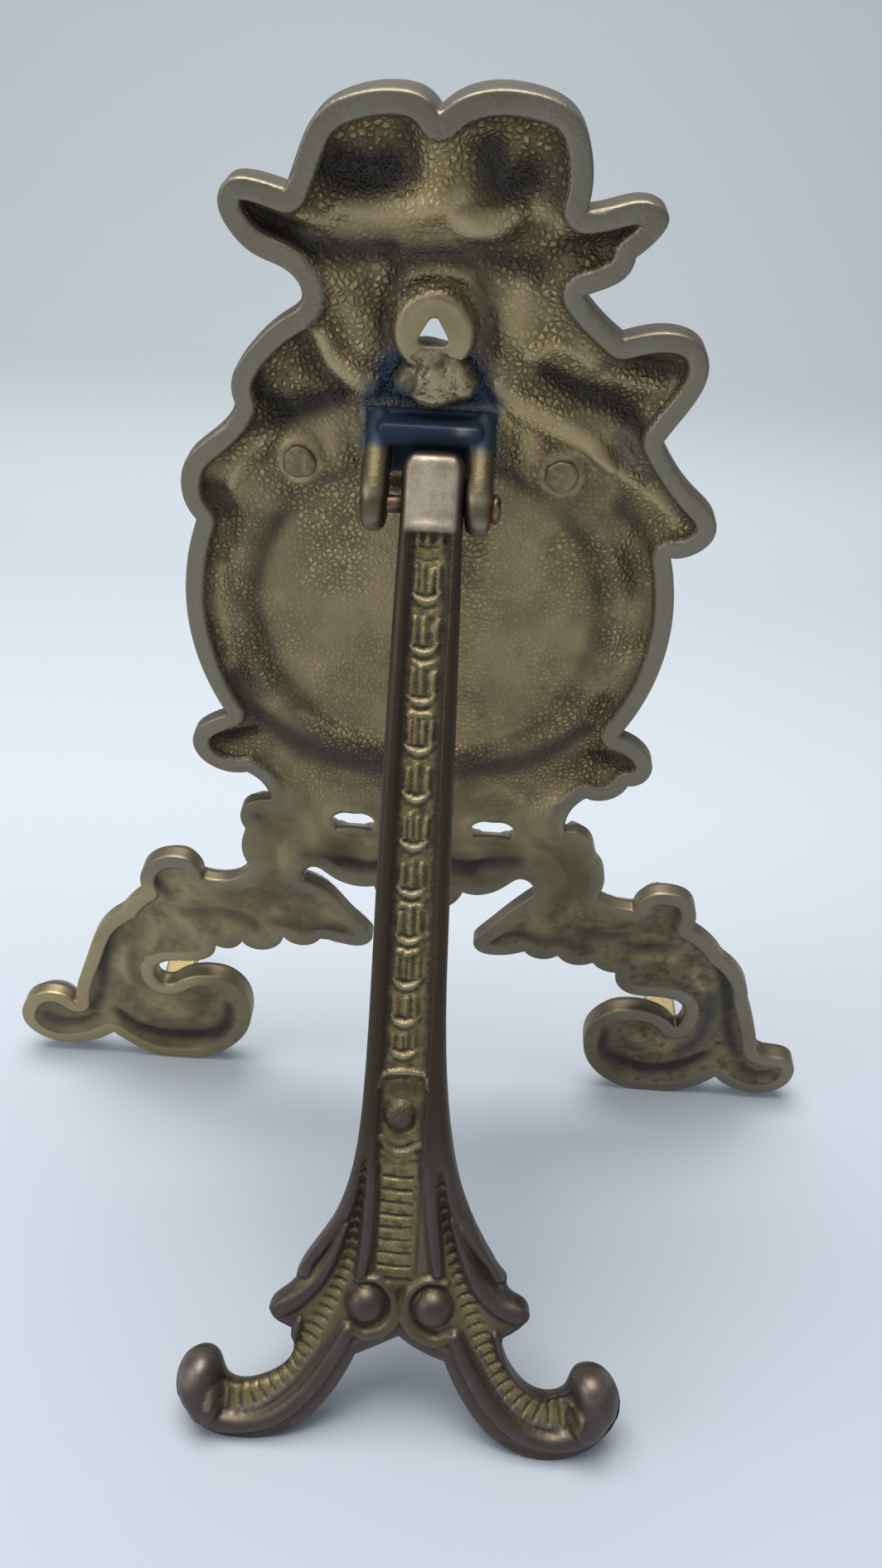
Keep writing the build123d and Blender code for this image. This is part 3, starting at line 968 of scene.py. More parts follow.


# -------- the panel

# swells, hollows and stains of the back, darkened with soot and painted shade, from the crest down to the feet
BACK_MARKS = (
    # crest lobes and the roll below them
    soft(1.2, (0, 181, 3), (0, 176, 3.4), (0, 171, 4), gold=0.6),
    dark(-1.7, (-12.5, 173.6, 3.6), (-8.5, 172.4, 3.8), (-6, 173.5, 3), soot=0.95),
    dark(-1.5, (6.2, 176, 2.4), (7.5, 172.6, 3.3), (10.5, 173.5, 3), soot=0.85),
    soft(-0.5, (-10, 178.6, 3.2), (-6, 178.8, 2.6), gold=0.25),
    dark(-0.4, (13.5, 178.5, 1.4), (14.4, 173.5, 1.5), (13.8, 168.5, 1.3), soot=0.55),
    dark(-0.3, (-5, 180.2, 1.2), (-3.6, 176, 1.3), (-3.2, 173.5, 1.2), soot=0.5),
    light(0.9, (-12, 169.6, 1.6), (-7, 169.2, 2.2), (-1, 169.6, 2.4), (3, 171.5, 1.8)),
    roll(1.1, (3.2, 168.2, 2), (6, 167.9, 2.5), (9.2, 169.2, 1.8), gold=0.75),
    dark(-0.5, (4.5, 165.7, 0.8), (8, 166.2, 0.8), (10.6, 168.2, 0.7), soot=0.6),
    dark(-1.1, (-20.5, 167.3, 1.5), (-15.5, 164.6, 1.9), (-10, 163.9, 1.8), (-5.6, 164.4, 1.3)),
    dark(-0.8, (-5, 163.3, 1.6), (1, 163.8, 1.6), (7, 164.2, 1.5), (13, 163.2, 1.8), soot=0.7),
    dark(-1, (-24.6, 169.6, 0.8), (-21.5, 167.6, 1.5), (-18, 166.3, 1.5), soot=1),
    light(0.6, (-21, 169.3, 1), (-15, 167.6, 1.2), (-12, 169, 1.2), gold=0.45),
    dark(-0.8, (23.4, 168.4, 0.7), (20, 167.1, 1.2), (16, 166.2, 1.5), soot=0.75),
    light(0.4, (12.4, 170, 1.4), (15.4, 168.2, 1.3)),
    dark(-0.4, (14.6, 165, 1.2), (17, 162.8, 1.2), soot=0.4),
    # shoulders round the eyelet
    light(0.8, (-13, 160.8, 2.4), (-11, 156.5, 3), (-9.5, 152.6, 1.9), gold=0.5),
    light(0.8, (11.5, 160.5, 2.3), (10.8, 156.3, 2.8), (12.5, 152.6, 1.8), gold=0.5),
    light(0.7, (-5.8, 158.4, 0.8), (-3.6, 161.4, 0.9), (0.4, 162.5, 1), (4.4, 161.6, 0.9), (6.6, 158.6, 0.8),
          gold=0.55),
    dark(-0.7, (-4.6, 161.6, 1.3), (-6.4, 157.4, 1.2), (-6.2, 152.8, 1.3), soot=0.65),
    dark(-0.7, (5.6, 161.2, 1.3), (7, 157, 1.2), (7.4, 152.5, 1.3), soot=0.6),
    roll(1.3, (-14.8, 154, 1.2), (-13.3, 150.8, 1.6), (-10.4, 148.2, 1.8), (-8.2, 147.2, 1.4), gold=1, soot=-0.9),
    dark(-0.6, (-17.4, 153.6, 1.3), (-15.6, 149.2, 1.3), (-11.6, 146.2, 1.3), soot=0.55),
    dark(-0.9, (-23.6, 149.2, 1.4), (-23.2, 146, 1.6), (-21, 143.8, 1.7), soot=0.85),
    dark(-1, (-20.6, 142.4, 2), (-17, 143.8, 2.2), (-12.5, 145.4, 1.7), soot=0.9),
    dark(-0.5, (-29, 139, 1.4), (-26, 140.6, 1.5), (-22.6, 141.5, 1.5), soot=0.6),
    light(0.5, (-24, 151.6, 1.6), (-20.5, 150.4, 1.9), (-18, 147.4, 1.5), gold=0.25),
    light(0.7, (12.5, 152.2, 1.1), (15.6, 153.8, 1.2), (18.4, 153.2, 1.1), (20.6, 151.6, 0.9)),
    light(0.5, (22.6, 150.2, 1), (26.6, 149.6, 1.3), (29.6, 149.2, 1), gold=0.5),
    dark(-1, (24.2, 153.2, 1.2), (28.2, 152.4, 1.6), (31.6, 151.6, 1.4), soot=0.85),
    dark(-1.2, (14.8, 150.2, 1.1), (19.6, 148, 1.6), (25, 146.2, 1.8), (28.4, 143, 1.5), soot=0.95),
    soft(-0.4, (26, 141.5, 1.6), (28.5, 138.8, 1.8), (30.5, 136.5, 1.2), blue=0.36),
    roll(1.1, (9, 147.6, 1.6), (12.2, 145.4, 2.2), (17.2, 143.2, 2.2), (22, 140.6, 1.8), (24.6, 137.8, 1.3), gold=1,
         soot=-0.9),
    soft(0.2, (10.5, 144.5, 2), (12.5, 142, 2.6), (14, 138.6, 2), gold=0.8),
    light(0.8, (22.6, 139.4, 1), (27.4, 136.4, 1.2), (32, 133, 1.2), (35.4, 129.6, 0.9)),
    dark(-0.7, (31.2, 137.8, 1.2), (34.6, 133.8, 1.2), (38, 130.6, 0.9), soot=0.7),
    dark(-0.5, (27, 132, 1.2), (30.6, 128.2, 1.2), (32.6, 124.6, 1), soot=0.65),
    light(0.8, (-22.8, 139.6, 1.5), (-26.6, 135.4, 1.5), (-28.4, 131.6, 1.2), gold=0.55),
    dark(-0.9, (-33.6, 133.4, 1), (-31.2, 131.4, 1.5), (-28.8, 127.6, 1.2), soot=0.7),
    light(0.35, (-14, 140.2, 2), (-12.5, 134.5, 2.2), (-12.5, 130, 1.8), gold=0.45),
    light(0.35, (12.2, 141, 1.6), (13.4, 135, 2), (13.4, 130.8, 1.8), gold=0.45),
    # annulus round the medallion's field
    dark(-0.2, (-32.4, 121.6, 1.3), (-33, 115, 1.2), (-33.2, 106, 1), soot=0.45),
    dark(-0.2, (28.4, 124.2, 1.6), (31.6, 117.6, 1.2), (33, 110, 1), soot=0.4),
    light(0.2, (-30.8, 118.5, 1.3), (-31.4, 110.5, 1.4), (-30, 102.5, 1.4), gold=0.55),
    light(0.2, (31.4, 116.5, 1.2), (31.2, 108, 1.3), (29, 101, 1.3), gold=0.45),
    # painted shade under the collar's lower slope, brown and sooty
    soft(-0.4, (-30.5, 99, 1.3), (-28.4, 93, 1.8), (-22.6, 87.6, 2.8), (-16, 84, 3.4), (-7, 82.8, 3.2), brown=0.7,
         soot=0.5, gold=-0.9),
    soft(-0.4, (7, 83.4, 2.8), (14, 84.4, 2.8), (20.6, 87.4, 2.3), (27, 93, 1.5), brown=0.7, soot=0.4, gold=-0.9),
    light(0.3, (-20, 92.8, 0.8), (-13, 88.6, 0.9), (-4, 86.6, 0.8), gold=0.6),
    # waist, lower lobes and pendant
    dark(-0.9, (-34.8, 86, 1), (-31.6, 86.6, 1.4), (-28, 87.8, 1), soot=1),
    dark(-0.9, (34.6, 86.2, 1), (31.6, 86, 1.3), (28.4, 87, 1)),
    soft(0.5, (-24, 80, 3), (-20, 73, 4), (-18, 66, 3), gold=0.15),
    soft(0.5, (24, 78, 3), (19, 73, 4), (18, 66, 3), gold=0.15),
    light(0.3, (9.5, 77, 1.2), (13, 78.6, 1.3), (17, 76.6, 1.1), gold=0.35),
    dark(-1.2, (-19.6, 61.2, 1.2), (-14.5, 60.8, 1.3), (-9.5, 59.4, 1.3), (-5, 60.4, 1.3), soot=1),
    dark(-1.2, (4.6, 61, 1.3), (9.5, 60.2, 1.6), (13.5, 62, 1.4), (17.4, 63.4, 1), soot=1),
    soft(0.5, (-9, 65, 1.5), (0, 64.4, 1.6), (9, 65.2, 1.5)),
    # arms with their scalloped lower edge
    dark(-0.6, (-44, 43.8, 1.1), (-37, 44.8, 1.1), (-31.5, 43, 1.3), (-29.6, 40.6, 0.8), soot=0.5),
    dark(-0.6, (-28, 43.8, 0.8), (-24.4, 43.4, 0.9), (-20.4, 42.4, 0.8), (-17, 43.2, 0.8), (-13.4, 42.2, 0.6),
         soot=0.65),
    dark(-0.7, (14.6, 42.2, 0.7), (17.6, 44.6, 0.9), (21.4, 44.4, 0.9), (23.6, 42.6, 0.7), soot=0.85),
    dark(-0.6, (24, 43, 0.8), (27.4, 43.8, 0.9), (30.6, 41.8, 0.8)),
    dark(-0.6, (30, 46.4, 1), (35, 45, 1.2), (39.4, 45.6, 0.8), soot=0.7),
    dark(-0.6, (41.4, 42.4, 1), (44.6, 43.6, 1.1), (47.4, 43.8, 0.8), soot=0.85),
    dark(-0.5, (-49, 54, 0.6), (-47.6, 50.4, 0.8), (-46.2, 48.6, 0.6), soot=0.85),
    dark(-0.5, (47.4, 53.6, 0.8), (47.2, 50.6, 0.7), (47.2, 47.8, 0.6), soot=0.75),
    light(0.3, (-45.6, 42.4, 1), (-43.8, 40.2, 1.2), gold=0.55),
    light(0.4, (42.6, 40.4, 1.6), (48.4, 40, 1.6), gold=0.3),
    # legs, volutes and outer lobes
    dark(-0.8, (-50.6, 48.2, 0.9), (-55.6, 43.8, 1), (-59.2, 37, 1.2), (-61.8, 29, 1.3), (-63.8, 20, 1.2),
         (-66.6, 13, 1.2), soot=0.75),
    light(0.6, (-57, 33.4, 1), (-58, 27.6, 1), (-57.4, 22.6, 0.9), gold=0.35),
    dark(-0.4, (-55.2, 31.8, 0.7), (-56.2, 26.4, 0.8), (-54.8, 21.6, 0.7), soot=0.5),
    light(0.4, (-48.8, 40, 1.6), (-52.4, 34.4, 1.6), gold=0.4),
    dark(-1, (-61.4, 13, 1.1), (-57.6, 8.4, 1.6), (-50, 6.4, 2), (-42.6, 7.8, 1.9), (-38.6, 12.4, 1.5),
         (-37.8, 18, 1.1)),
    dark(-0.5, (-43.4, 21.4, 0.8), (-42, 17.6, 0.8), (-43.4, 13.6, 0.7), soot=0.4),
    soft(0.8, (-52.5, 16, 3.4), (-49, 13.4, 3), gold=0.35),
    dark(-0.8, (-77.2, 10.6, 1.2), (-74.4, 8.6, 1.6), (-70, 8.8, 1.3), (-66, 11, 1), soot=0.6),
    soft(-0.1, (-75.4, 9, 1), blue=0.5),
    soft(0, (-57.2, 14.6, 0.9), blue=0.6),
    soft(0, (-28.6, 70.6, 1), blue=0.65),
    soft(0, (-26, 56.4, 0.9), blue=0.55),
    soft(0, (6.6, 125.2, 0.6), blue=0.7),
    dark(-0.8, (50.2, 47.4, 0.9), (55.4, 42.6, 1.1), (59, 36.2, 1.3), (61.2, 28.4, 1.5), (63.2, 19.6, 1.4),
         (66, 12.6, 1.3)),
    soft(-0.3, (57.4, 31, 1.5), (58.2, 24, 1.8), (57.6, 17, 1.8), (54.6, 12.6, 1.6), blue=0.18, soot=0.6),
    light(0.6, (53.2, 36.6, 1), (55.8, 32.4, 0.9), gold=0.4),
    dark(-0.6, (46.2, 33.6, 0.7), (50.8, 33.4, 0.9), (54.2, 30.8, 0.9), (55.8, 27.2, 0.8), soot=0.6),
    dark(-1, (38.8, 18.4, 1), (38.8, 13, 1.4), (42, 8.6, 1.7), (48.4, 6.2, 1.9), (55.6, 8.2, 1.7), (60.2, 12.6, 1.1),
         soot=0.85),
    soft(0.8, (47, 15.6, 3), (51, 14, 3.2), gold=0.35),
    dark(-0.8, (66.4, 9.8, 1), (70.4, 6.9, 1.4), (74.4, 7.4, 1.1), soot=0.68),
)

# strokes carved into one half of the front
FRONT_CUTS = (
    ((2.2, 178, 0.7), (4, 172, 0.9), (3.4, 164.5, 0.8)),
    ((6.4, 179.4, 0.7), (8.6, 173, 0.9), (7.4, 164.6, 0.8)),
    ((11.4, 178.8, 0.7), (13, 173, 0.9), (11.6, 165.4, 0.8)),
    ((24.6, 169.6, 0.6), (19.4, 167.8, 0.9), (14, 162.6, 0.8)),
    ((33, 153.4, 0.6), (27.4, 150.2, 1), (20.6, 147, 0.9), (15, 148.6, 0.7)),
    ((29.6, 144.6, 0.6), (24.8, 144.4, 0.9), (19.2, 143.4, 0.7)),
    ((37.6, 129.6, 0.6), (32.6, 132.4, 0.9), (28.8, 138, 0.7)),
    ((35.2, 86.6, 0.6), (31, 86.4, 0.9), (25.4, 83.4, 0.8), (21.6, 77.6, 0.7)),
    ((28.6, 74.6, 0.6), (25.6, 70, 0.8), (24.8, 64, 0.7)),
    ((13, 41.4, 0.6), (18.6, 44.4, 0.9), (26, 47.6, 0.9), (34, 48.2, 0.8)),
    ((22.6, 41.4, 0.5), (24.6, 44.4, 0.7)),
    ((29.2, 40.4, 0.5), (31.2, 44, 0.7)),
    ((35.6, 39.4, 0.5), (37.4, 43, 0.7)),
    ((44.6, 55.4, 0.6), (45.6, 50.6, 0.9), (42.6, 46.4, 0.8)),
    ((49.8, 47.6, 0.7), (55, 41, 1), (58.6, 32, 1), (61, 22, 0.9), (66, 12.6, 0.8), (72.6, 8.6, 0.7)),
    ((46.6, 41.6, 0.7), (51.4, 36.6, 0.9), (55, 29.6, 0.9), (55.4, 22, 0.8)),
    ((60, 13, 0.7), (56, 6.8, 0.9), (48.6, 4.6, 0.9), (41, 7, 0.9), (38, 14, 0.9), (40.4, 20.6, 0.7)),
    ((44.6, 56.6, 0.5), (46.8, 56, 0.6)),
)


@dataclass
class PanelCasting:
    """The rococo panel: filed rim, leathery hollow back, eyelet, slots and a carved front."""

    lay: Lay
    spacing: float = 0.62
    rim_width: float = 2.6
    medallion: tuple[float, float] = (0.0, 112.0)
    field_radius: float = 25.6
    collar_radius: float = 29.2
    eyelet: tuple[float, float] = (0.0, 155.2)
    eyelet_radius: float = 5.3
    hole_side: float = 5.2
    slots: tuple[float, float] = (-11.7, 12.7)
    slot_up: float = 70.0
    front: float = -5.8
    crest: float = -8.0
    bracket: tuple[float, float, float, float] = (-8.9, 8.9, 132.6, 145.0)
    rivets: tuple[tuple[float, float], ...] = ((-18.25, 136.3), (18.25, 136.3), (0.0, 81.6))

    def holes(self) -> list[Array]:
        """Outlines of the eyelet's hole and the two crescent slots."""
        corners = [np.array(self.eyelet) + self.hole_side * 0.577 * np.array(
            [math.cos(math.radians(a)), math.sin(math.radians(a))]) for a in (90, 210, 330)]
        middle = sum(corners) / 3
        eyelet = []
        for corner in corners:
            aim = math.atan2(*(corner - middle)[::-1])
            centre = corner + (middle - corner) * 0.42
            for turn in np.linspace(-1.05, 1.05, 5):
                eyelet.append(centre + 0.62 * np.array([math.cos(aim + turn), math.sin(aim + turn)]))
        holes = [np.array(eyelet)]
        for across in self.slots:
            a = np.linspace(0.05, math.pi - 0.05, 18)
            notch = 0.45 * np.exp(-(4 * np.cos(a)) ** 2)
            top = np.column_stack([across + 3.8 * np.cos(a), self.slot_up + 2.1 * np.sin(a) - notch])
            a = np.linspace(math.pi - 0.3, 0.3, 10)
            low = np.column_stack([across + 3.4 * np.cos(a), self.slot_up - 2.5 + 0.7 * np.sin(a)])
            holes.append(np.vstack([top, low]))
        return holes

    def front_marks(self) -> list[Mark]:
        """Carving of the front, each stroke cut into it, darkened with grime and painted shade, and mirrored to both
        halves.
        """
        marks = [cut(0.9, (0, 62.6, 0.6), (0, 57, 0.8), (0, 52.6, 0.5), soot=0.7)]
        for side in (-1, 1):
            for path in FRONT_CUTS:
                marks.append(cut(1.15, *((side * a, b, 1.25 * r) for a, b, r in path), soot=0.8))
        return marks

    def edge_depth(self, points: Array) -> Array:
        """Depth of the cast edge at each point, which varies round the outline."""
        usual, weight = 3.2, 0.05
        anchors = ((0, 182, 8.0, 15), (-24, 170, 5.5, 9), (25, 170, 5.5, 9), (30, 155, 5.0, 9),
                   (37, 130, 3.8, 12), (-34, 132, 3.2, 12), (-36, 86, 3.2, 9), (36, 86, 3.2, 9),
                   (-46, 57, 4.0, 7), (46, 57, 3.8, 7), (-42, 24, 4.6, 9), (42, 24, 4.2, 9),
                   (-76, 14, 3.6, 9), (74, 12, 4.6, 9), (0, 110, 3.2, 60))
        total, weights = usual * weight, weight
        for a, b, depth, reach in anchors:
            near = bell(np.hypot(points[:, 0] - a, points[:, 1] - b), reach)
            total, weights = total + depth * near, weights + near
        return total / weights

    def hollow(self, skin: Skin) -> None:
        """Sink the back, model its relief, lay the flat field of the medallion, and paint shade round the field's edge
        and a highlight along its bottom.
        """
        across, up, paint = skin.across, skin.up, skin.paint
        lumps = 0.32 * skin.lumps(7.0, 3.0) + 0.10 * skin.lumps(2.6, 9.0)
        skin.height = lumps - 1.25 - 1.45 * smooth(56, 92, up) + 0.45 * smooth(60, 40, up)
        paint["pebble"] = smooth(70, 88, up) * (0.25 + 0.75 * smooth(0.35, -0.25, skin.lumps(9.0, 5.0)))
        marked = apply_marks(skin.points, skin.height, paint, BACK_MARKS)
        skin.settle(marked, 1 - 0.35 * smooth(58, 48, up))
        middle = skin.away(*self.medallion)
        outer = 2.6 + 2.6 * smooth(100, 88, up) * (middle > self.collar_radius)
        collar = bell(middle - self.collar_radius, outer) * smooth(139, 124, up)
        skin.settle(-1.25 + 0.5 * lumps, 0.85 * collar)
        field_share = 1 - smooth(self.field_radius - 1.0, self.field_radius + 1.7, middle)
        dome = 0.45 * np.clip(1 - (middle / self.field_radius) ** 2, 0, 1)
        skin.settle(dome + 0.12 * lumps - 2.95 + 0.9 * smooth(122, 136, up), field_share)
        skin.thin(0.55 * field_share * smooth(126, 108, up), "pebble")
        lower = smooth(62, 48, up)
        for name, rounds in (("soot", 3), ("gold", 1), ("blue", 3)):
            paint[name] *= 1 - 0.9 * field_share * (name != "blue")
            wide = 1.5 * skin.casting.eased(paint[name], 7)
            fine = 1.15 * skin.casting.eased(paint[name], rounds)
            paint[name] = np.clip(fine * (1 - lower) + wide * lower, 0, 1)
        mottle = 0.7 * skin.lumps(3.0, 71.0) + 0.6 * skin.lumps(1.2, 73.0) + 0.4 * skin.lumps(0.7, 75.0)
        right = smooth(0, 40, across)
        skin.add("soot", (0.36 + 0.42 * right) * lower * smooth(-0.35 * right, 0.6, mottle))
        skin.add("gold", 0.2 * lower * smooth(0.1, 0.6, -mottle) * (1 - right))
        skin.add("gold", 0.34 * field_share)
        # painted shade round the field's dish, olive, left off at its bottom
        ring = bell(middle - self.field_radius - 0.5, 1.5)
        skin.add("soot", 0.56 * ring * smooth(86, 94, up) * (0.8 + 0.8 * skin.lumps(5.0, 13.0)))
        skin.add("gold", 0.2 * ring)
        # painted highlight along the field's bottom edge: gold, with the soot taken off
        lit_lower_edge = bell(middle - self.field_radius + 0.2, 1.1) * smooth(98, 90, up)
        skin.add("gold", 0.5 * lit_lower_edge)
        skin.thin(0.9 * lit_lower_edge, "soot")

    def seats(self, skin: Skin) -> None:
        """Sink the seats of the rivets and the bracket, and stain the metal round the brazing."""
        across, up, paint = skin.across, skin.up, skin.paint
        for a, b in self.rivets:
            away = skin.away(a, b)
            seat = 1 - smooth(2.6, 4.2, away)
            skin.settle(-1.7, seat)
            ragged = 0.5 + 0.9 * skin.lumps(1.6, 41.0 + a)
            skin.add("gold", np.clip(ragged, 0, 1) * bell(away - 2.9, 0.7))
            skin.thin(seat, "soot", "pebble")
            skin.add("soot", 0.5 * bell(away - 2.35, 0.25))
        left, right, low, high = self.bracket
        away = np.maximum(np.maximum(left - across, across - right), np.maximum(low - up, up - high))
        fillet = -1.5 - 0.7 * np.clip(away, 0, 9) ** 1.3
        near = (away < 2.5) & (up > 137)
        skin.height = np.where(near, blended(skin.height, fillet, 0.5), skin.height)
        skin.settle(-3.7, 1 - smooth(-0.95, -0.3, away))
        ragged = 1.6 * skin.lumps(2.6, 61.0) + 0.7 * skin.lumps(0.9, 63.0)
        away = np.hypot((across + 0.3) / 1.25, np.maximum(np.maximum(146.0 - up, up - 148.5), 0))
        skin.add("blue", 0.9 * (1 - smooth(3.4, 8.6, away + ragged)) * smooth(158.0, 151.5, up))
        away = np.maximum(np.abs(across + 0.2) - 8.6, np.maximum(139.0 - up, up - 147.6))
        skin.add("blue", 1 - smooth(-0.8, 2.2, away + 0.6 * ragged))
        away = skin.away(*self.eyelet)
        boss = 1 - smooth(self.eyelet_radius - 0.5, self.eyelet_radius + 0.5, away)
        skin.settle(0.25 * bell(away - 4.9, 0.45) * smooth(154.5, 158.0, up) - 0.15, boss)
        for middle in self.slots:
            leaf = np.hypot((across - middle) / 1.4, up - self.slot_up)
            skin.settle(-1.15, 1 - smooth(2.6, 4.6, leaf))
        paint["blue"] *= 1 - 0.95 * boss
        skin.thin(boss, "pebble", "soot", "gold")
        skin.add("gold", 0.55 * boss)

    def rim(self, skin: Skin) -> None:
        """File the rim flat, with a soft step inside it, a painted shadow line under the step, and a worn, browned
        face.
        """
        across, up, gap, paint = skin.across, skin.up, skin.gap, skin.paint
        side = np.abs(across)
        arms = smooth(60, 50, up) * np.clip(smooth(43.5, 47.0, up) + (1 - smooth(24, 12, side)), 0, 1)
        waist = smooth(80, 74, up) * smooth(52, 60, up)
        soft_step = np.maximum(arms, waist) * smooth(46, 40, side)
        width = self.rim_width + 0.26 * skin.lumps(9.0, 21.0)
        share = 0.58 * smooth(width - 0.15 - 1.4 * soft_step, width + 0.55 + 4.0 * soft_step, gap)
        share += 0.42 * smooth(width, width + 3.0 + 2.0 * soft_step, gap)
        skin.height = skin.height * share - 0.045 * (1 + skin.lumps(4.0, 31.0)) - drop_off(0.36, gap)
        rim = (1 - smooth(width - 0.1, width + 0.3, gap)) * (1 - 0.55 * soft_step)
        skin.thin(rim, "soot")
        skin.thin(0.9 * rim, "gold", "blue", "pebble", "brown")
        skin.add("rim", rim)
        skin.add("brown", 0.28 * rim * smooth(158, 176, up) * (1 + 0.5 * skin.lumps(5.0, 41.0)))
        # painted shadow line just inside the rim's inner step, stronger higher up
        step = bell(gap - width - 0.30, 0.26) * (1 - soft_step)
        skin.add("soot", (0.30 + 0.25 * smooth(70, 90, up)) * step)
        warm = smooth(-34, -46, across) * smooth(58, 50, up)
        skin.add("gold", 0.75 * warm * rim)
        paint["rim"] *= 1 - 0.62 * warm

    def face(self, skin: Skin) -> None:
        """Carve the front, its edge set back from the rim by the casting's depth."""
        across, up, gap = skin.across, skin.up, skin.gap
        raised = smooth(170.5, 174.0, up) * smooth(19.5, 17.0, np.abs(across))
        plane = self.front + (self.crest - self.front) * raised
        skin.height = np.maximum(-self.edge_depth(skin.points), plane + 0.4)
        skin.settle(plane, smooth(0.2, 2.4, gap))
        carved = apply_marks(skin.points, np.zeros(len(gap)), skin.paint, self.front_marks())
        middle = skin.away(*self.medallion)
        clear = smooth(34.6, 35.6, middle) + (1 - smooth(24.0, 25.0, middle))
        for side in (-1, 1):
            clear = clear * smooth(6.0, 7.2, skin.away(side * 52.0, 10.0))
        clear = np.clip(clear, 0, 1)
        skin.height += carved * clear + 1.3 * (1 - smooth(23.6, 25.2, middle))
        skin.height += 0.10 * (skin.lumps(6.0, 14.0) + 1) * clear + 0.5 * np.clip(1 - gap / 0.6, 0, 1) ** 2
        skin.settle(-1.1, 1 - smooth(3.4, 4.6, skin.away(*self.eyelet)))
        for slot in self.slots:
            leaf = np.hypot((across - slot) / 1.4, up - self.slot_up)
            skin.settle(-2.0, 1 - smooth(3.3, 4.4, leaf))
        skin.height = np.minimum(skin.height, -1.0)
        skin.paint["brown"][:] = 0.35
        # darker in a ring round the front's sunken middle
        skin.add("soot", 0.4 * bell(middle - 24.0, 1.2))

    def make(self) -> Piece:
        """Mesh and dress the panel."""
        casting = Casting("panel_relief", self.lay, flat_outline("panel", self.lay, 0.0), self.spacing,
                          (0.16, 0.42, 2.3, 2.52, 2.74, 2.96, 3.25), self.holes())
        casting.fill()
        near, far = Skin(casting), Skin(casting)
        self.hollow(near)
        self.seats(near)
        self.rim(near)
        self.face(far)
        back = near.height
        front = np.maximum(np.minimum(far.height, back - 0.8), self.crest)
        proud = smooth(0.05, 0.30, back - casting.eased(back, 14)) * (1 - 0.6 * near.paint["rim"])
        near.paint["tops"] = 0.22 * proud * (1 - near.paint["soot"])
        proud = casting.eased(front, 14) - front
        far.paint["tops"] = 0.8 * smooth(-0.05, 0.30, proud)
        # the front's sunk places darkened: grime and painted shade
        far.add("soot", 0.7 * smooth(0.05, 0.4, -proud))
        piece = casting.close(back, front, 4)
        layers, walls = casting.spread(piece, near.paint, far.paint)
        for name, level in (("rim", 0.25), ("tops", 0.0), ("soot", 0.0)):
            layers[name][walls] = level
        up = self.lay.read(get_points(piece))[:, 1]
        layers["brown"][walls] = (0.3 + 0.5 * smooth(60, 110, up))[walls]
        paint_points(piece, layers)
        return piece


# -------- the strut

# the round boss of the cartouche and its arches; the lines under the arches and round the boss are darkened with grime
# and painted shade
BOSS_MARKS = (
    roll(0.5, (-1.7, -81.5, 0.3), (-1.4, -79.9, 0.4), (0.2, -79.4, 0.5), (2.4, -79.3, 0.5), (4.5, -79.6, 0.4),
         (5, -81.2, 0.3), tops=0.28, gold=0.3, soot=-1),
    soft(-0.3, (-0.8, -80.7, 0.3), (1.6, -80.3, 0.35), (4, -80.6, 0.3), soot=0.6),
    soft(-0.15, (0.2, -81.8, 1.2), (3.2, -81.8, 1.2), brown=0.5, gold=-0.4),
    soft(0.3, (1.3, -85.8, 2.9), gold=0.5),
    roll(0.35, (1.3, -85.8, 2.45), gold=0.3, soot=-0.5),
    soft(-0.3, (-0.9, -86.6, 0.26), (0, -88, 0.3), (1.6, -88.5, 0.3), (3.2, -87.6, 0.28), (3.5, -85.8, 0.2),
         soot=0.75),
    soft(-0.5, (1.3, -85.8, 2.7), soot=1),
    roll(1.1, (1.3, -85.8, 2.15), brown=1, gold=-1, soot=-1, tops=0.1),
    roll(0.5, (-1.2, -89.4, 0.5), (0.2, -91.2, 0.6), (2.2, -91.6, 0.6), (4.4, -90.2, 0.5), tops=0.12, brown=0.4,
         soot=-1),
    soft(-0.3, (-1, -89.7, 0.35), (1.2, -91, 0.4), (3.8, -90, 0.35), soot=0.7),
    soft(-0.2, (-1, -92.3, 0.3), (1.4, -93.4, 0.3), (4.4, -92.6, 0.3), soot=0.5),
    soft(0.35, (2, -94.6, 2.9), (1.9, -103, 3.1), (1.9, -110.8, 3), gold=0.65),
)

# rolls of the two legs above their knobs
LEG_MARKS = (
    # left leg: outer roll, second roll ending in a lobe, inner roll
    bare(3.45, (-3.9, -92, 1), (-4.6, -96, 1.1), (-5.6, -100, 1.2), (-8, -105, 1.4), (-10.9, -109, 1.4),
         (-11, -111.4, 1)),
    bare(3.8, (-5.6, -103, 0.5), (-7.4, -108, 1.1), (-9.6, -112, 1.5), (-12.4, -115.2, 1.7), (-14.7, -116.7, 1.9)),
    bare(3.55, (-2.5, -93, 0.8), (-2.45, -100, 0.95), (-2.6, -106, 1), (-3.1, -110.6, 0.9)),
    soft(-0.35, (-6, -102.6, 0.3), (-8.2, -107.4, 0.5), (-10.4, -111.6, 0.5), (-13.2, -113.6, 0.4), gold=0.95,
         soot=0.25, brown=-0.8),
    # right leg, a little broader
    bare(3.45, (8.6, -92, 1), (9.2, -96, 1.2), (10.4, -100, 1.3), (13, -104.2, 1.5), (16, -107.4, 1.5),
         (17, -109.6, 1.1)),
    bare(3.8, (9.8, -101, 0.5), (11.9, -106.6, 1.1), (14.2, -111.2, 1.5), (17.2, -114.2, 1.7), (20.2, -115.3, 2)),
    bare(3.55, (6.2, -93, 0.9), (6.7, -100, 1.15), (7.4, -105, 1.1), (8.1, -109.6, 0.9)),
    soft(-0.35, (10.6, -101, 0.3), (13.2, -106, 0.6), (15.8, -110, 0.6), (18.6, -112, 0.4), gold=0.95, soot=0.25,
         brown=-0.8),
)

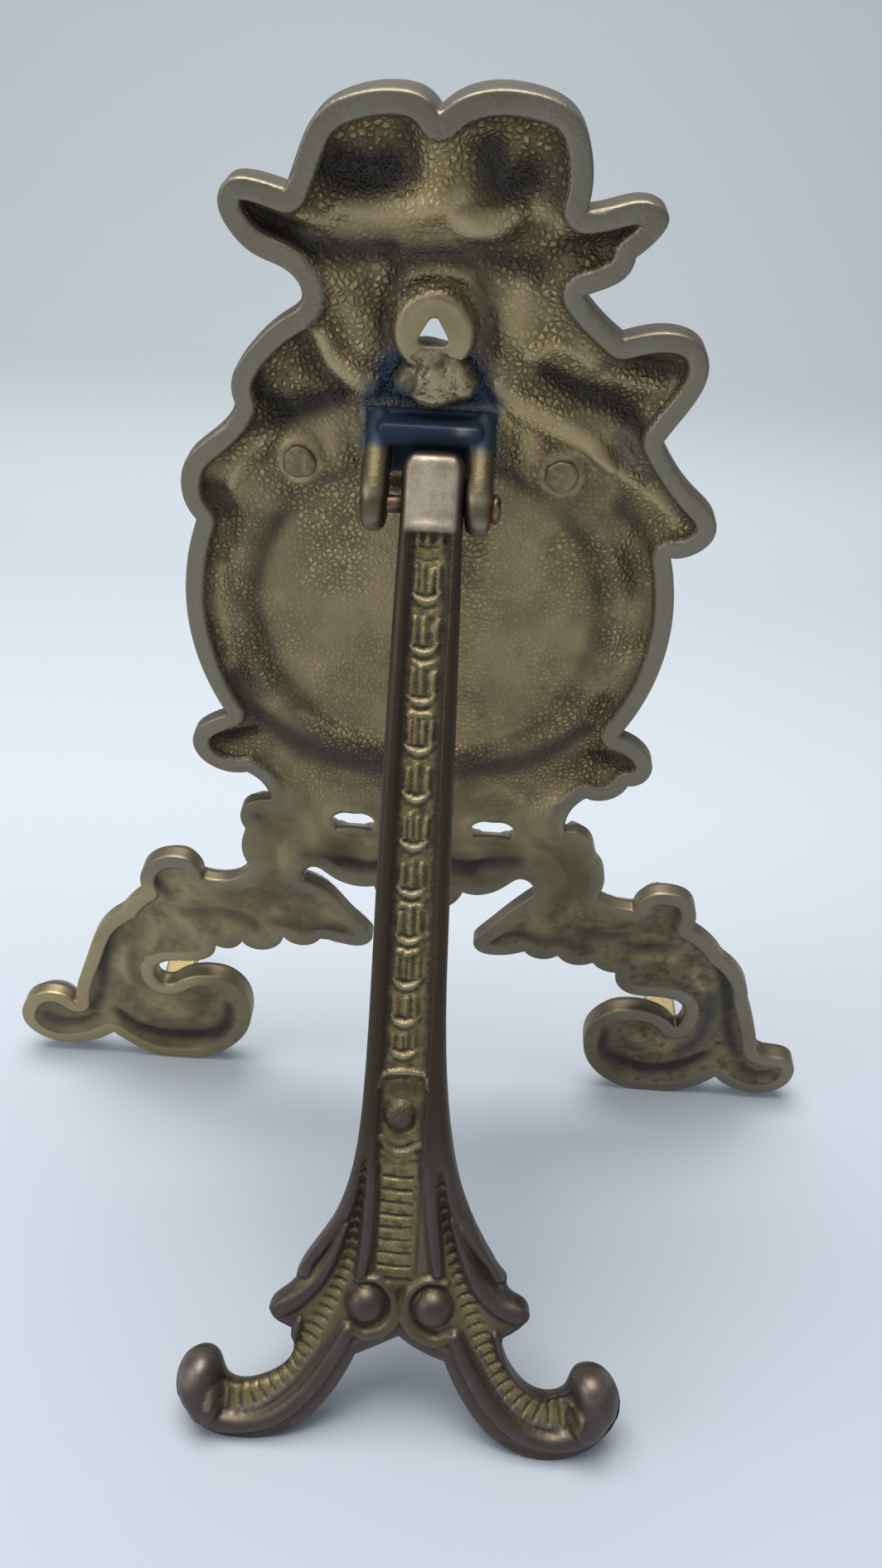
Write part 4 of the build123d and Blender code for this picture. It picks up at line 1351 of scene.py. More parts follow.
# the slit ropes that run down the legs into their hooks
ROPES = (
    ((-3.35, -92.6, 0.3), (-3.7, -98, 0.5), (-4.4, -104, 0.75), (-5.4, -110, 1.1), (-7.7, -116, 1.6),
     (-10.9, -122.4, 1.9), (-15, -128.6, 2.2), (-19.6, -132.2, 2.5), (-24, -132.6, 2.4)),
    ((7.7, -94, 0.3), (8.3, -98.4, 0.5), (9.5, -104, 0.8), (11.1, -110, 1.15), (13.5, -116, 1.6),
     (16.2, -122, 1.9), (20, -128, 2.2), (24.6, -131.2, 2.5), (30, -130.8, 2.4)),
)

# hooks, balls, knobs and their cups
HOOK_MARKS = (
    # upper rolls of the hooks
    bare(3.35, (-11.8, -118.8, 0.5), (-13, -122.6, 0.8), (-15.4, -126.7, 0.95), (-18.8, -129.3, 1),
         (-21.8, -129.3, 0.9), (-23.6, -127.8, 0.7)),
    bare(3.35, (17.2, -118.8, 0.5), (18.6, -122, 0.8), (21.4, -125.8, 0.95), (24.6, -128, 1), (27.6, -127.8, 0.9),
         (29.2, -126.2, 0.7)),
    # lower rolls, running out into the balls
    bare(3.8, (-4.6, -119.6, 1.3), (-6.9, -124.4, 1.5), (-10.3, -130, 1.6), (-15, -134.6, 1.7), (-20.6, -136.4, 1.7),
         (-25.4, -135.6, 2), (-28.2, -132, 2.2)),
    bare(3.8, (11.2, -119.6, 1.3), (13.6, -124.6, 1.5), (17.2, -130.2, 1.6), (21.6, -134.2, 1.7), (26.6, -135.6, 1.7),
         (31.4, -134.2, 2), (34.4, -130.6, 2.2)),
    soft(0.3, (-8.6, -122.4, 0.3), (-12.4, -128.6, 0.35), (-17, -133.2, 0.4), (-21.6, -134.7, 0.4), brown=0.9, gold=-1,
         soot=-1, tops=0.22),
    soft(0.3, (14.8, -122, 0.3), (18.6, -128.4, 0.35), (22.8, -132.4, 0.4), (28.2, -133.6, 0.4), brown=0.9, gold=-1,
         soot=-1, tops=0.22),
    # balls
    bare(5.3, (-26.4, -127.6, 3.4), (-27, -130.6, 3.3), (-25.6, -134, 2.6)),
    bare(5.3, (32.2, -125.6, 3.4), (33.2, -128.8, 3.4), (31.8, -132.4, 2.6)),
    # painted highlights on the balls' upper left
    soft(0, (-28.2, -128.6, 1.8), (-26.4, -126.2, 1.9), tops=0.22),
    soft(0, (31, -125.6, 1.8), (33.2, -124.6, 1.9), tops=0.2),
    roll(0.8, (-24.2, -130.6, 0.7), (-24.5, -132.4, 0.7), gold=0.7, tops=0.3),
    roll(0.7, (29.4, -129.4, 0.6), (30.6, -130.6, 0.7), (29.8, -132, 0.6), gold=0.8),
    # cups round the knobs
    soft(-0.25, (-1.2, -116.4, 3.4), gold=0.85, brown=-0.9),
    soft(-0.25, (7.8, -116.4, 3.4), gold=0.85, brown=-0.9),
    cup(3.3, (-3.6, -111.6, 0.5), (-0.6, -111.4, 0.7), (1.7, -113.6, 0.9), (2.2, -116.6, 1.1), (0.9, -119.2, 1.2),
        (-2, -120.3, 1.1), (-4.4, -119.2, 0.9)),
    cup(3.3, (9.6, -111.2, 0.5), (6.6, -111, 0.7), (4.2, -113.2, 0.9), (3.7, -116.4, 1.1), (5, -119.2, 1.2),
        (8.2, -120.6, 1.1), (10.8, -119.4, 0.9)),
    bare(4.95, (-2.2, -115.1, 2.95)),
    bare(4.95, (7.7, -115.1, 3)),
    soft(-0.25, (2.95, -112.8, 0.7), (2.95, -116.5, 0.35), gold=0.9, soot=0.2),
    # yellowed undersides
    soft(0, (-13, -136.6, 0.8), (-20, -138.2, 0.9), (-26, -137.2, 0.8), gold=0.55),
    soft(0, (20, -136.6, 0.8), (27, -137.6, 0.9), (32.6, -136, 0.8), gold=0.55),
)


@dataclass
class StrutCasting:
    """The strut: worn head, ornamental channel, slit ladder, ropes, leaves, cupped knobs and ball hooks."""

    lay: Lay
    spacing: float = 0.34
    face: float = 3.5
    back: float = -2.5
    head: tuple[float, float, float] = (-3.3, 5.1, 7.0)
    shoulder: tuple[float, float] = (5.2, 1.8)
    drops: tuple[float, ...] = (6.3, 12.6, 19.5, 26.3, 33.1, 39.7, 46.5, 53.2, 60.0, 66.5, 72.0, 76.8)
    ladder_steps: int = 9
    slit_pitch: float = 1.85
    slit_reach: float = 0.72
    let_down: float = 1.0
    balls: tuple[tuple[float, float], ...] = ((-26.6, -129.8), (32.6, -128.0))

    def outline(self) -> Array:
        """The strut's outline, with the head's rounded top drawn in and the hooks let down."""
        loop = flat_outline("strut", self.lay, self.face)
        low = loop[:, 1] < 3.0
        start = int(np.flatnonzero(low & ~np.roll(low, 1))[0])
        body = np.roll(loop, -start, axis=0)[:int(low.sum())]
        left, right, top = self.head
        corner = ((0.0, 3.4), (0.0, 4.7), (0.25, 5.8), (0.9, 6.55), (2.0, 6.93), (3.4, top))
        head = [(right - a, b) for a, b in corner] + [(left + a, b) for a, b in reversed(corner)]
        loop = np.vstack([body, head if body[-1, 0] > body[0, 0] else head[::-1]])
        loop = respaced(loop, 0.3)[0]
        along = np.roll(loop, -2, 0) - np.roll(loop, 2, 0)
        upward = np.clip(along[:, 0] / -np.maximum(np.hypot(*along.T), 1e-9), 0, 1)
        for _ in range(40):
            upward = 0.25 * np.roll(upward, 1) + 0.5 * upward + 0.25 * np.roll(upward, -1)
        loop[:, 1] -= self.let_down * (1 + upward) * smooth(-97.0, -109.0, loop[:, 1])
        return loop

    def link(self, number: int) -> list[Mark]:
        """One link of the channel's ornament: bars standing in a worn crescent, the gaps between the bars and the
        lines along the crescent darkened with grime and painted shade.

        Args:
            number: place of the link below the head.

        Returns:
            Its marks.
        """
        drop = self.drops[number]
        tall = min(drop - (self.drops[number - 1] if number else 2.2) - 2.9, 3.2)

        def stray(k: float) -> float:
            """A small unevenness of its own."""
            return math.sin(12.9 * number + 4.1 * k)

        across, low = 0.5 + 0.010 * drop + 0.15 * stray(0.3), -drop

        def bow(kind: Callable[..., Mark], rise: float, *steps: Step, **paint: float) -> Mark:
            """A mark placed from the link's foot."""
            return kind(rise, *((across + a, low + b, width) for a, b, width in steps), **paint)

        marks = [bow(soft, 0.2, (0, 2.6, 2), gold=0.2)]
        bars = (3, 4, 3, 3, 4)[number % 5]
        pitch = 3.0 / (bars - 1)
        for k in range(bars):
            side, top = -1.45 + pitch * k + 0.12 * stray(k), 1.2 + tall * (0.95 + 0.10 * stray(k + 0.5))
            marks.append(bow(roll, 0.36, (side, 1.2, 0.30 * pitch), (side + 0.1 * stray(k + 3), top, 0.26 * pitch),
                             gold=0.3, tops=0.08 + 0.05 * stray(2.0), soot=-0.4))
            marks.append(bow(soft, -0.2, (side + pitch / 2, 1.3, 0.2), (side + pitch / 2, top - 0.2, 0.2),
                             soot=0.8 - 0.3 * (k == bars - 1)))
        if number in (4, 8, 9):
            marks.append(bow(roll, 0.4, *((-1.6 + 0.8 * k, tall + 1.7 + 0.3 * (k % 2), 0.34) for k in range(5)),
                             gold=0.3, tops=0.2, soot=-1))
        marks.append(bow(soft, -0.22, (-1.3, 0.9, 0.22), (0, 0.65, 0.25), (1.4, 0.9, 0.22), soot=0.8))
        if number:
            marks.append(bow(roll, 0.5, (-1.8, 0.9 + 0.15 * stray(7), 0.18), (-1.1, 0.1, 0.42), (0.1, -0.25, 0.52),
                             (1.2, 0.1, 0.42), (1.95, 1.0 + 0.2 * stray(8), 0.18), soot=-1,
                             tops=0.27 + 0.12 * stray(9)))
        marks.append(bow(soft, -0.14, (-1.3, -0.7, 0.24), (0, -1.05, 0.28), (1.4, -0.65, 0.24), soot=0.75))
        if number in (2, 8):
            marks.append(bow(roll, 0.4, (-1.3, -1.4, 0.2), (0, -1.95, 0.32), (1.5, -1.5, 0.2), tops=0.2, soot=-1))
        return marks

    def crossed(self, path: Sequence[Step]) -> list[Mark]:
        """A rope: a gold channel crossed by slits darkened with grime and painted shade, with lit lips.

        Args:
            path: across, up and half-width along the rope.

        Returns:
            Its marks.
        """
        marks = [soft(-0.7, *path, gold=0.85, brown=-1)]
        curve, pitch = eased(path, 8), self.slit_pitch
        length = np.concatenate([[0], np.cumsum(np.hypot(*np.diff(curve[:, :2], axis=0).T))])
        at = pitch
        while at < length[-1] - 0.6 * pitch:
            middle, ahead = (np.array([np.interp(x, length, curve[:, k]) for k in range(3)]) for x in (at, at + 0.3))
            run = (ahead - middle)[:2] / max(np.hypot(*(ahead - middle)[:2]), 1e-6)
            side = np.array([-run[1], run[0]]) * middle[2] * self.slit_reach
            first, last = middle[:2] - side, middle[:2] + side
            marks.append(soft(-0.3, (*first, 0.24), (*last, 0.27), soot=0.55 + 0.25 * math.sin(5.3 * at)))
            marks.append(roll(0.2, (*first + run / 2, 0.27), (*last + run / 2, 0.27), gold=0.5, tops=0.1, soot=-0.5))
            at += pitch * (1 + 0.10 * math.sin(3.7 * at))
        return marks

    def cartouche(self) -> list[Mark]:
        """The round boss between its two arches, and the ladder below, its slits and side lines darkened with grime
        and painted shade.
        """
        marks = list(BOSS_MARKS)
        for number in range(self.ladder_steps):
            low, left, right = -95.3 - 1.98 * number, -0.6 - 0.02 * number, 3.7 + 0.05 * number
            high = low + 0.12 * math.sin(5.1 * number)
            marks += [soft(-0.4, (left, low, 0.3), (right, high, 0.24), soot=0.9 + 0.1 * math.sin(3.3 * number)),
                      roll(0.18, (left, low - 0.55, 0.28), (right, high - 0.5, 0.26), gold=0.3, tops=0.06, soot=-0.5)]
        for a in (-1.35, 4.9):
            marks.append(soft(-0.3, (a, -93.8, 0.3), (a + 0.1, -102, 0.35), (a + 0.1, -110, 0.3), soot=0.75))
        return marks

    def foot(self) -> list[Mark]:
        """Rolls, leaves, ropes, cups, knobs and ball ends of the two legs."""
        ropes = [mark for path in ROPES for mark in self.crossed(path)]
        return [*LEG_MARKS, *ropes, *HOOK_MARKS]

    def outer(self, skin: Skin) -> None:
        """Shape and paint the side that shows: edge, channel, ornament and worn head, with painted shade along the
        channel's walls and in its sunk places.
        """
        across, up, gap, paint = skin.across, skin.up, skin.gap, skin.paint
        foot = smooth(-90.0, -104.0, up)
        left = -1.65 - 0.15 * smooth(-60, -92, up)
        right = 3.75 + 1.0 * smooth(-25, -76, up)
        channel = smooth(left - 0.3, left + 0.25, across) * (1 - smooth(right - 0.25, right + 0.3, across))
        channel = channel * smooth(-3.4, -4.4, up) * (1 - smooth(-108, -112, up))
        skin.height = self.face - 1.15 * foot - drop_off(1.3 - 0.1 * foot, gap)
        skin.settle(self.face - 1.35, channel)
        hollow = foot * smooth(1.2, 2.4, gap)
        paint["gold"] = np.maximum(0.8 * channel, 0.5 * hollow)
        paint["brown"] = (1.0 - channel) * (1 - 0.6 * hollow)
        # grime and painted shade along the foot of the channel's two walls
        wall_grime_and_shade = np.clip(bell(across - left, 0.3) + bell(across - right, 0.3), 0, 1)
        grime = smooth(-0.15, 0.5, skin.lumps(1.3, 17.0) + 0.5 * skin.lumps(0.6, 27.0))
        paint["soot"] = np.maximum(0.7 * wall_grime_and_shade, (0.62 + 0.18 * smooth(-84, -78, up)) * grime) * channel
        paint["pebble"] = 0.7 * channel
        links = [mark for number in range(len(self.drops)) for mark in self.link(number)]
        skin.height = apply_marks(skin.points, skin.height, paint, links + self.cartouche() + self.foot())
        grain = 0.12 * skin.lumps(1.1, 2.0) + 0.10 * skin.lumps(0.5, 4.0)
        skin.height += grain * np.maximum(channel, 0.5 * foot * paint["gold"])
        head = smooth(-3.9, -2.9, up)
        worn_edge = bell(up + 2.9 + 0.5 * skin.lumps(1.6, 51.0), 0.4)
        skin.height += smooth(1.0, 1.8, gap) * (0.07 * worn_edge - 0.05 * bell(up + 1.9, 0.5))
        skin.add("tops", head * smooth(0.55, 1.35, gap))
        skin.thin(0.85 * head * smooth(0.4, 1.2, gap), "brown")
        skin.thin(head, "gold", "soot")
        rounded = np.minimum(skin.height, self.face - self.shoulder_drop(up))
        skin.height = np.where(up > self.shoulder[0], rounded, skin.height)
        above = skin.height - skin.casting.eased(skin.height, 12)
        skin.add("tops", 0.2 * smooth(0.10, 0.4, above) * (1 - paint["brown"]) * (1 - foot * 0.5))
        # the sunk places darkened: grime and painted shade
        skin.add("soot", 0.95 * smooth(0.06, 0.30, -above) * (1 - head))
        paint["rim"] = paint["brown"] * smooth(-84.0, -100.0, up) * (1 - paint["soot"]) * (1 - paint["gold"])

    def shoulder_drop(self, up: Array) -> Array:
        """How far the head's top is rounded back at each height."""
        start, radius = self.shoulder
        rolled = np.clip(up - start, 0, radius)
        return radius - np.sqrt(np.clip(radius ** 2 - rolled ** 2, 0, None))

    def inner(self, skin: Skin) -> None:
        """Shape and paint the plain side that faces the panel."""
        up, start = skin.up, self.shoulder[0]
        height = self.back - smooth(-6.0, -3.4, up)
        height = np.maximum(height, np.where(up > start, self.back - 1.0 + self.shoulder_drop(up), -9.0))
        height += drop_off(0.9 + 2.1 * smooth(-90.0, -104.0, up), skin.gap) + 0.05 * skin.lumps(5.0, 7.0)
        skin.height = np.maximum(height, self.back - 1.05)
        skin.paint["brown"][:] = 0.75
        skin.paint["gold"][:] = 0.3

    def make(self) -> Piece:
        """Mesh and dress the strut."""
        casting = Casting("strut_relief", self.lay, self.outline(), self.spacing, (0.12, 0.35, 0.7, 1.1, 1.6))
        casting.fill()
        near, far = Skin(casting), Skin(casting)
        self.outer(near)
        self.inner(far)
        ball = np.minimum(*(near.away(*place) for place in self.balls))
        lowered = near.height - 0.7 * drop_off(3.4, near.gap) * (1 - smooth(3.8, 9.0, ball))
        height = np.minimum(near.height, blended(lowered, far.height + 0.9, 0.3))
        piece = casting.close(height, far.height, 3)
        layers, walls = casting.spread(piece, near.paint, far.paint)
        layers["brown"][walls] = 0.95
        layers["rim"][walls] *= 0.7
        layers["gold"][walls] *= 0.5
        layers["soot"][walls] = 0.0
        paint_points(piece, layers)
        placed = get_points(piece)
        placed[:, 2] = np.maximum(placed[:, 2], 0.0)
        placed[:, 1] = np.minimum(placed[:, 1], CAD_BOUNDS[1][1])
        set_points(piece, placed)
        return piece


# -------- small pieces

class Work:
    """A piece on the bench: a primitive shaped in edit mode, in millimetres."""

    def __init__(self, piece: Piece) -> None:
        """Take up a piece."""
        self.piece = piece

    @classmethod
    def start(cls, name: str, kind: str, place: Sequence[float], size: Sequence[float], sides: int = 0) -> "Work":
        """Add a primitive at its size and place.

        Args:
            name: the piece's name.
            kind: cube or cylinder.
            place: its middle.
            size: its size along each axis.
            sides: sides of a cylinder.

        Returns:
            The piece on the bench.
        """
        take()
        if kind == "cube":
            bpy.ops.mesh.primitive_cube_add(size=1.0, location=place, scale=size)
        else:
            bpy.ops.mesh.primitive_cylinder_add(vertices=sides, radius=0.5, depth=1.0, location=place, scale=size)
        piece = bpy.context.object
        piece.name = name
        bpy.ops.object.transform_apply(location=True, rotation=True, scale=True)
        return cls(piece)

    def pick(self, test: Callable[[Vector, Vector], bool]) -> None:
        """Select the faces whose middle and normal pass a test."""
        take(self.piece)
        bpy.ops.object.mode_set(mode="EDIT")
        bpy.context.tool_settings.mesh_select_mode = (False, False, True)
        bpy.ops.mesh.select_all(action="DESELECT")
        bpy.ops.object.mode_set(mode="OBJECT")
        for face in self.piece.data.polygons:
            face.select = test(face.center, face.normal)

    def draw_out(self, rise: float, girth: float, length: float | None = None, slide: float = 0.0) -> None:
        """Extrude the selected face, then scale it about its own middle.

        Args:
            rise: how far it moves out.
            girth: its scale across.
            length: its scale along, the same if left out.
            slide: how far it moves along.
        """
        bpy.ops.object.mode_set(mode="EDIT")
        bpy.ops.mesh.extrude_region_move(TRANSFORM_OT_translate={"value": (0, slide, rise)})
        bpy.ops.object.mode_set(mode="OBJECT")
        chosen = [face.center for face in self.piece.data.polygons if face.select]
        middle = sum(chosen, Vector()) / len(chosen)
        bpy.ops.object.mode_set(mode="EDIT")
        scale = (girth, length or girth, 1)
        bpy.ops.transform.resize(value=scale, center_override=tuple(middle))
        bpy.ops.object.mode_set(mode="OBJECT")

    def round_edges(self, width: float, segments: int, angle: float) -> None:
        """Round the edges that turn more than an angle.

        Args:
            width: width of the round in millimetres.
            segments: its divisions.
            angle: least turn in degrees.
        """
        bevel = self.piece.modifiers.new("round", "BEVEL")
        bevel.width = width
        bevel.segments = segments
        bevel.limit_method = "ANGLE"
        bevel.angle_limit = math.radians(angle)
        bevel.use_clamp_overlap = True
        apply_all(self.piece)


@dataclass
class HingeBracket:
    """Base, cross bar and two drooping ears, blued by the brazing heat."""

    half_width: float = 8.9
    ear: float = 3.7
    low: float = 135.6
    high: float = 145.0
    seat: float = -3.6
    base_top: float = -1.5
    bar: tuple[float, float] = (141.0, 144.2)
    bar_top: float = 2.5
    rings: tuple[tuple[float, float, float, float], ...] = (
        (134.6, 145.0, -1.4, 0.9), (133.2, 143.8, 0.6, 0.92), (131.8, 142.0, 3.0, 1.0), (130.9, 140.2, 5.4, 1.05),
        (130.9, 139.0, 7.0, 1.03), (131.4, 138.0, 8.1, 0.92), (132.2, 137.0, 8.9, 0.72), (133.4, 136.0, 9.3, 0.42))
    voxel_mm: float = 0.22
    rounds: int = 12

    def ear_block(self, side: int) -> Piece:
        """Draw one ear up from its foot and round its long edges.

        Args:
            side: -1 for the left ear, 1 for the right one.

        Returns:
            The ear, in millimetres of the panel's plane.
        """
        middle = side * (self.half_width - self.ear / 2)
        work = Work.start("ear", "cylinder", (middle, (self.low + self.high) / 2, self.seat + 0.5),
                          (self.ear, self.high - self.low, 1.0), 24)
        centre, length, level, girth = (self.low + self.high) / 2, self.high - self.low, self.seat + 1.0, 1.0
        work.pick(lambda place, normal: normal.z > 0.9)
        for low, high, out, width in self.rings:
            work.draw_out(out - level, width / girth, (high - low) / length, (low + high) / 2 - centre)
            centre, length, level, girth = (low + high) / 2, high - low, out, width
        points = get_points(work.piece)
        lows, highs, outs, widths = np.array([(self.low, self.high, self.seat, 1.0), *self.rings]).T
        low, high, half = (np.interp(points[:, 2], outs, values) for values in (lows, highs, widths * self.ear / 2))
        centre, reach = (low + high) / 2, (high - low) / 2
        turn = np.arctan2((points[:, 1] - centre) / reach, (points[:, 0] - middle) / half)
        straight = np.maximum(reach - half, 0)
        points[:, 1] = centre + straight * np.clip(2 * np.sin(turn), -1, 1) + half * np.sin(turn)
        set_points(work.piece, points)
        return work.piece

    def make(self, lay: Lay) -> Piece:
        """Build the bracket, run its joints together and paint its stains, with painted highlights on the ears and bar
        and painted shade on the ears' outer sides and roots.
        """
        ears = [self.ear_block(side) for side in (-1, 1)]
        base = Work.start("base", "cube", (0, (self.low + self.high) / 2, (self.seat + self.base_top) / 2),
                          (2 * self.half_width, self.high - self.low, self.base_top - self.seat))
        base.round_edges(0.4, 3, 45.0)
        bar_low, bar_high = self.bar
        bar = Work.start("bar", "cube", (0, (bar_low + bar_high) / 2, (self.seat + self.bar_top) / 2),
                         (2 * self.half_width - self.ear, bar_high - bar_low, self.bar_top - self.seat))
        bar.round_edges(0.8, 4, 45.0)
        piece = base.piece
        take(piece, bar.piece, *ears)
        bpy.ops.object.join()
        piece.name = "hinge_bracket_cast"
        run_together(piece, self.voxel_mm, self.rounds)
        points = get_points(piece)
        piece.data.transform(lay.matrix())
        across, up, out = points.T
        layers: Layers = {}
        ear = np.maximum(smooth(4.8, 5.2, np.abs(across)) * smooth(-1.0, 0.5, out), smooth(3.0, 4.0, out))
        ragged = 1.2 * bumps(points[:, :2], 1.7, 3.0)
        layers["blue"] = 1.0 - ear * smooth(142.4, 139.4, up - 0.25 * out + ragged)
        layers["gold"] = 0.15 * ear
        # the ears' outer sides browner: painted shade
        layers["brown"] = 0.5 * ear * smooth(7.4, 8.6, np.abs(across))
        layers["tops"] = 0.42 * smooth(133.4, 131.6, up) * ear * smooth(4.0, 6.0, out)
        # painted highlights on the ears' bulges
        for a, b, level in ((-7.5, 137.4, 0.5), (7.2, 137.0, 0.7), (7.3, 133.8, 0.5), (-7.2, 133.6, 0.35)):
            highlight_spot = bell(across - a, 1.2) * bell(up - b, 0.8)
            layers["tops"] += level * highlight_spot * smooth(7.0, 8.0, out)
        # painted highlight on the right of the cross bar
        layers["tops"] += 0.6 * bell(across - 4.4, 1.0) * smooth(1.9, 2.3, out) * smooth(142.8, 143.6, up)
        # painted shade where the ears leave the base
        layers["soot"] = 0.5 * ear * smooth(2.5, -1.0, out)
        paint_points(piece, layers)
        return piece


@dataclass
class HingePin:
    """The copper pin with its flattened head."""

    radius: float = 1.2
    head_radius: float = 2.0
    head: float = 1.2
    tail: float = 0.6
    half_span: float = 8.9

    def make(self, setting: StandSetting) -> Piece:
        """Turn the pin along the hinge axis, its head on the viewer's right."""
        end = self.half_span
        work = Work.start("hinge_pin_copper", "cylinder", (0, 0, 0), (2 * self.radius, 2 * self.radius, 2 * end), 40)
        work.pick(lambda place, normal: normal.z > 0.9)
        for rise, scale in ((0.02, 1.5), (0.25, self.head_radius / 1.8), (0.35, 1), (0.36, 0.86),
                            (self.head - 0.98, 0.62)):
            work.draw_out(rise, scale)
        work.pick(lambda place, normal: normal.z < -0.9)
        work.draw_out(0.3 - self.tail, 0.95)
        work.draw_out(-0.3, 0.7)
        turn = Matrix(((0, 0, -1), (0, 1, 0), (1, 0, 0))).to_4x4()
        work.piece.data.transform(Matrix.Translation(setting.strut().origin) @ turn @ Matrix.Scale(MM, 4))
        work.piece.data.shade_smooth()
        return work.piece


@dataclass
class BrazeLump:
    """The rough lump of braze over the bracket's upper edge, cooled in two lobes with a pit."""

    up: float = 149.4
    length: float = 11.0
    width: float = 8.6
    low: float = -3.6
    top: float = 0.95

    def make(self, lay: Lay) -> Piece:
        """Model the lump and paint it, with grime and painted shade in its pit, dip, seam, low hollows and round its
        foot.
        """
        take()
        bpy.ops.mesh.primitive_ico_sphere_add(subdivisions=6, radius=1.0)
        piece = bpy.context.object
        piece.name = "bracket_braze_lump"
        points = get_points(piece)
        angle = np.arctan2(points[:, 1], points[:, 0])
        edge = 1 + 0.07 * np.cos(3 * angle + 0.8) + 0.05 * np.cos(5 * angle + 2.0)
        across = points[:, 0] * self.length / 2 * edge + 0.3
        up = points[:, 1] * self.width / 2 * edge
        up += 0.8 * smooth(0.3, 1.0, -points[:, 1]) * bell(across + 3.2, 1.6)
        rise = np.maximum(points[:, 2], 0) ** 0.36
        lobe = 0.55 + 0.45 * smooth(-2.9, -1.5, across)
        lump = np.array([noise.fractal(Vector((a * 0.55, b * 0.55, 3.0)), 0.8, 2.1, 4) for a, b in zip(across, up)])
        grit = np.array([noise.noise(Vector((a * 3.0, b * 3.0, 1.0))) for a, b in zip(across, up)])
        height = self.low + (self.top - self.low) * rise * (0.86 + 0.14 * lobe) + 0.30 * lump * rise + 0.08 * grit
        pit = bell(across + 2.6, 0.9) * bell(up - 1.9, 0.55)
        dip = bell(across - 1.0, 1.2) * bell(up - 2.3, 0.9)
        seam = bell(across + 2.1 - 0.25 * up, 0.35) * smooth(3.6, 1.0, np.abs(up))
        height -= (1.0 * pit + 0.45 * dip + 0.35 * seam) * smooth(0.2, 0.7, rise)
        height[points[:, 2] <= 0] = self.low
        shaped = np.column_stack([across, up + self.up, np.maximum(height, self.low)])
        set_points(piece, lay.place(shaped))
        # the pit, dip, seam, low hollows and the lump's foot darkened with grime and painted shade; its left end
        # darker too
        paint_points(piece, {
            "gold": 0.95 * smooth(-2.6, -1.4, across) * (0.6 + 0.8 * smooth(-0.3, 0.4, lump)),
            "soot": np.maximum.reduce([pit + 0.85 * dip + 0.7 * seam + 0.8 * smooth(0.9, 0.75, rise),
                                       0.7 * smooth(0.15, 0.5, -lump - 0.6 * grit),
                                       0.35 * smooth(-2.0, -3.0, across)]),
            "blue": 0.55 * smooth(-2.2, -3.4, across) * smooth(0.5, -1.5, up),
            "tops": 0.35 * smooth(0.2, 0.6, lump) * smooth(-2.2, -1.4, across)})
        piece.data.shade_smooth()
        return piece


@dataclass
class MedallionRing:
    """The round frame on the front: an inner bead, a rope and an outer fillet."""

    radius: float = 30.4
    low: float = -5.8
    strands: int = 96

    def make(self, lay: Lay, centre: tuple[float, float]) -> Piece:
        """Reshape a torus to the ring's section, twist its rope and lay it on the panel's front.

        Args:
            lay: the panel's plane.
            centre: the ring's middle.

        Returns:
            The ring.
        """
        section = np.array([(-2.75, 0.0), (-2.75, 1.3), (-2.5, 1.7), (-2.05, 1.85), (-1.75, 1.6), (-1.6, 1.9),
                            (-1.35, 2.5), (-0.9, 2.95), (-0.3, 3.15), (0.3, 3.15), (0.9, 2.95), (1.35, 2.5),
                            (1.6, 1.9), (1.75, 1.5), (2.1, 1.65), (2.5, 1.5), (2.75, 1.1), (2.75, 0.0)])
        take()
        bpy.ops.mesh.primitive_torus_add(major_segments=self.strands * 6, minor_segments=len(section),
                                         major_radius=self.radius, minor_radius=1.0)
        piece = bpy.context.object
        piece.name = "medallion_ring_rope"
        points = get_points(piece)
        turn = np.arctan2(points[:, 1], points[:, 0])
        around = np.arctan2(points[:, 2], np.hypot(points[:, 0], points[:, 1]) - self.radius)
        step = np.rint((math.pi - around) / (2 * math.pi) * len(section)).astype(int) % len(section)
        aside, rise = section[step].T
        twist = np.cos(self.strands * turn + 1.9 * aside)
        rise = rise - 0.45 * (0.5 - 0.5 * twist) * np.sqrt(np.clip(1 - np.abs(aside) / 1.7, 0, 1))
        reach = self.radius + aside
        shaped = np.column_stack([centre[0] + reach * np.cos(turn), centre[1] + reach * np.sin(turn), self.low - rise])
        set_points(piece, lay.place(shaped))
        in_edit(piece, bpy.ops.mesh.normals_make_consistent, inside=False)
        piece.data.shade_smooth()
        # the valleys and the rope's lower flanks darkened with grime and painted shade
        grime = 0.75 * smooth(2.4, 1.4, rise) * smooth(0.9, 1.4, rise)
        paint_points(piece, {"tops": 0.8 * smooth(2.2, 3.1, rise), "soot": grime, "gold": 0.35})
        return piece


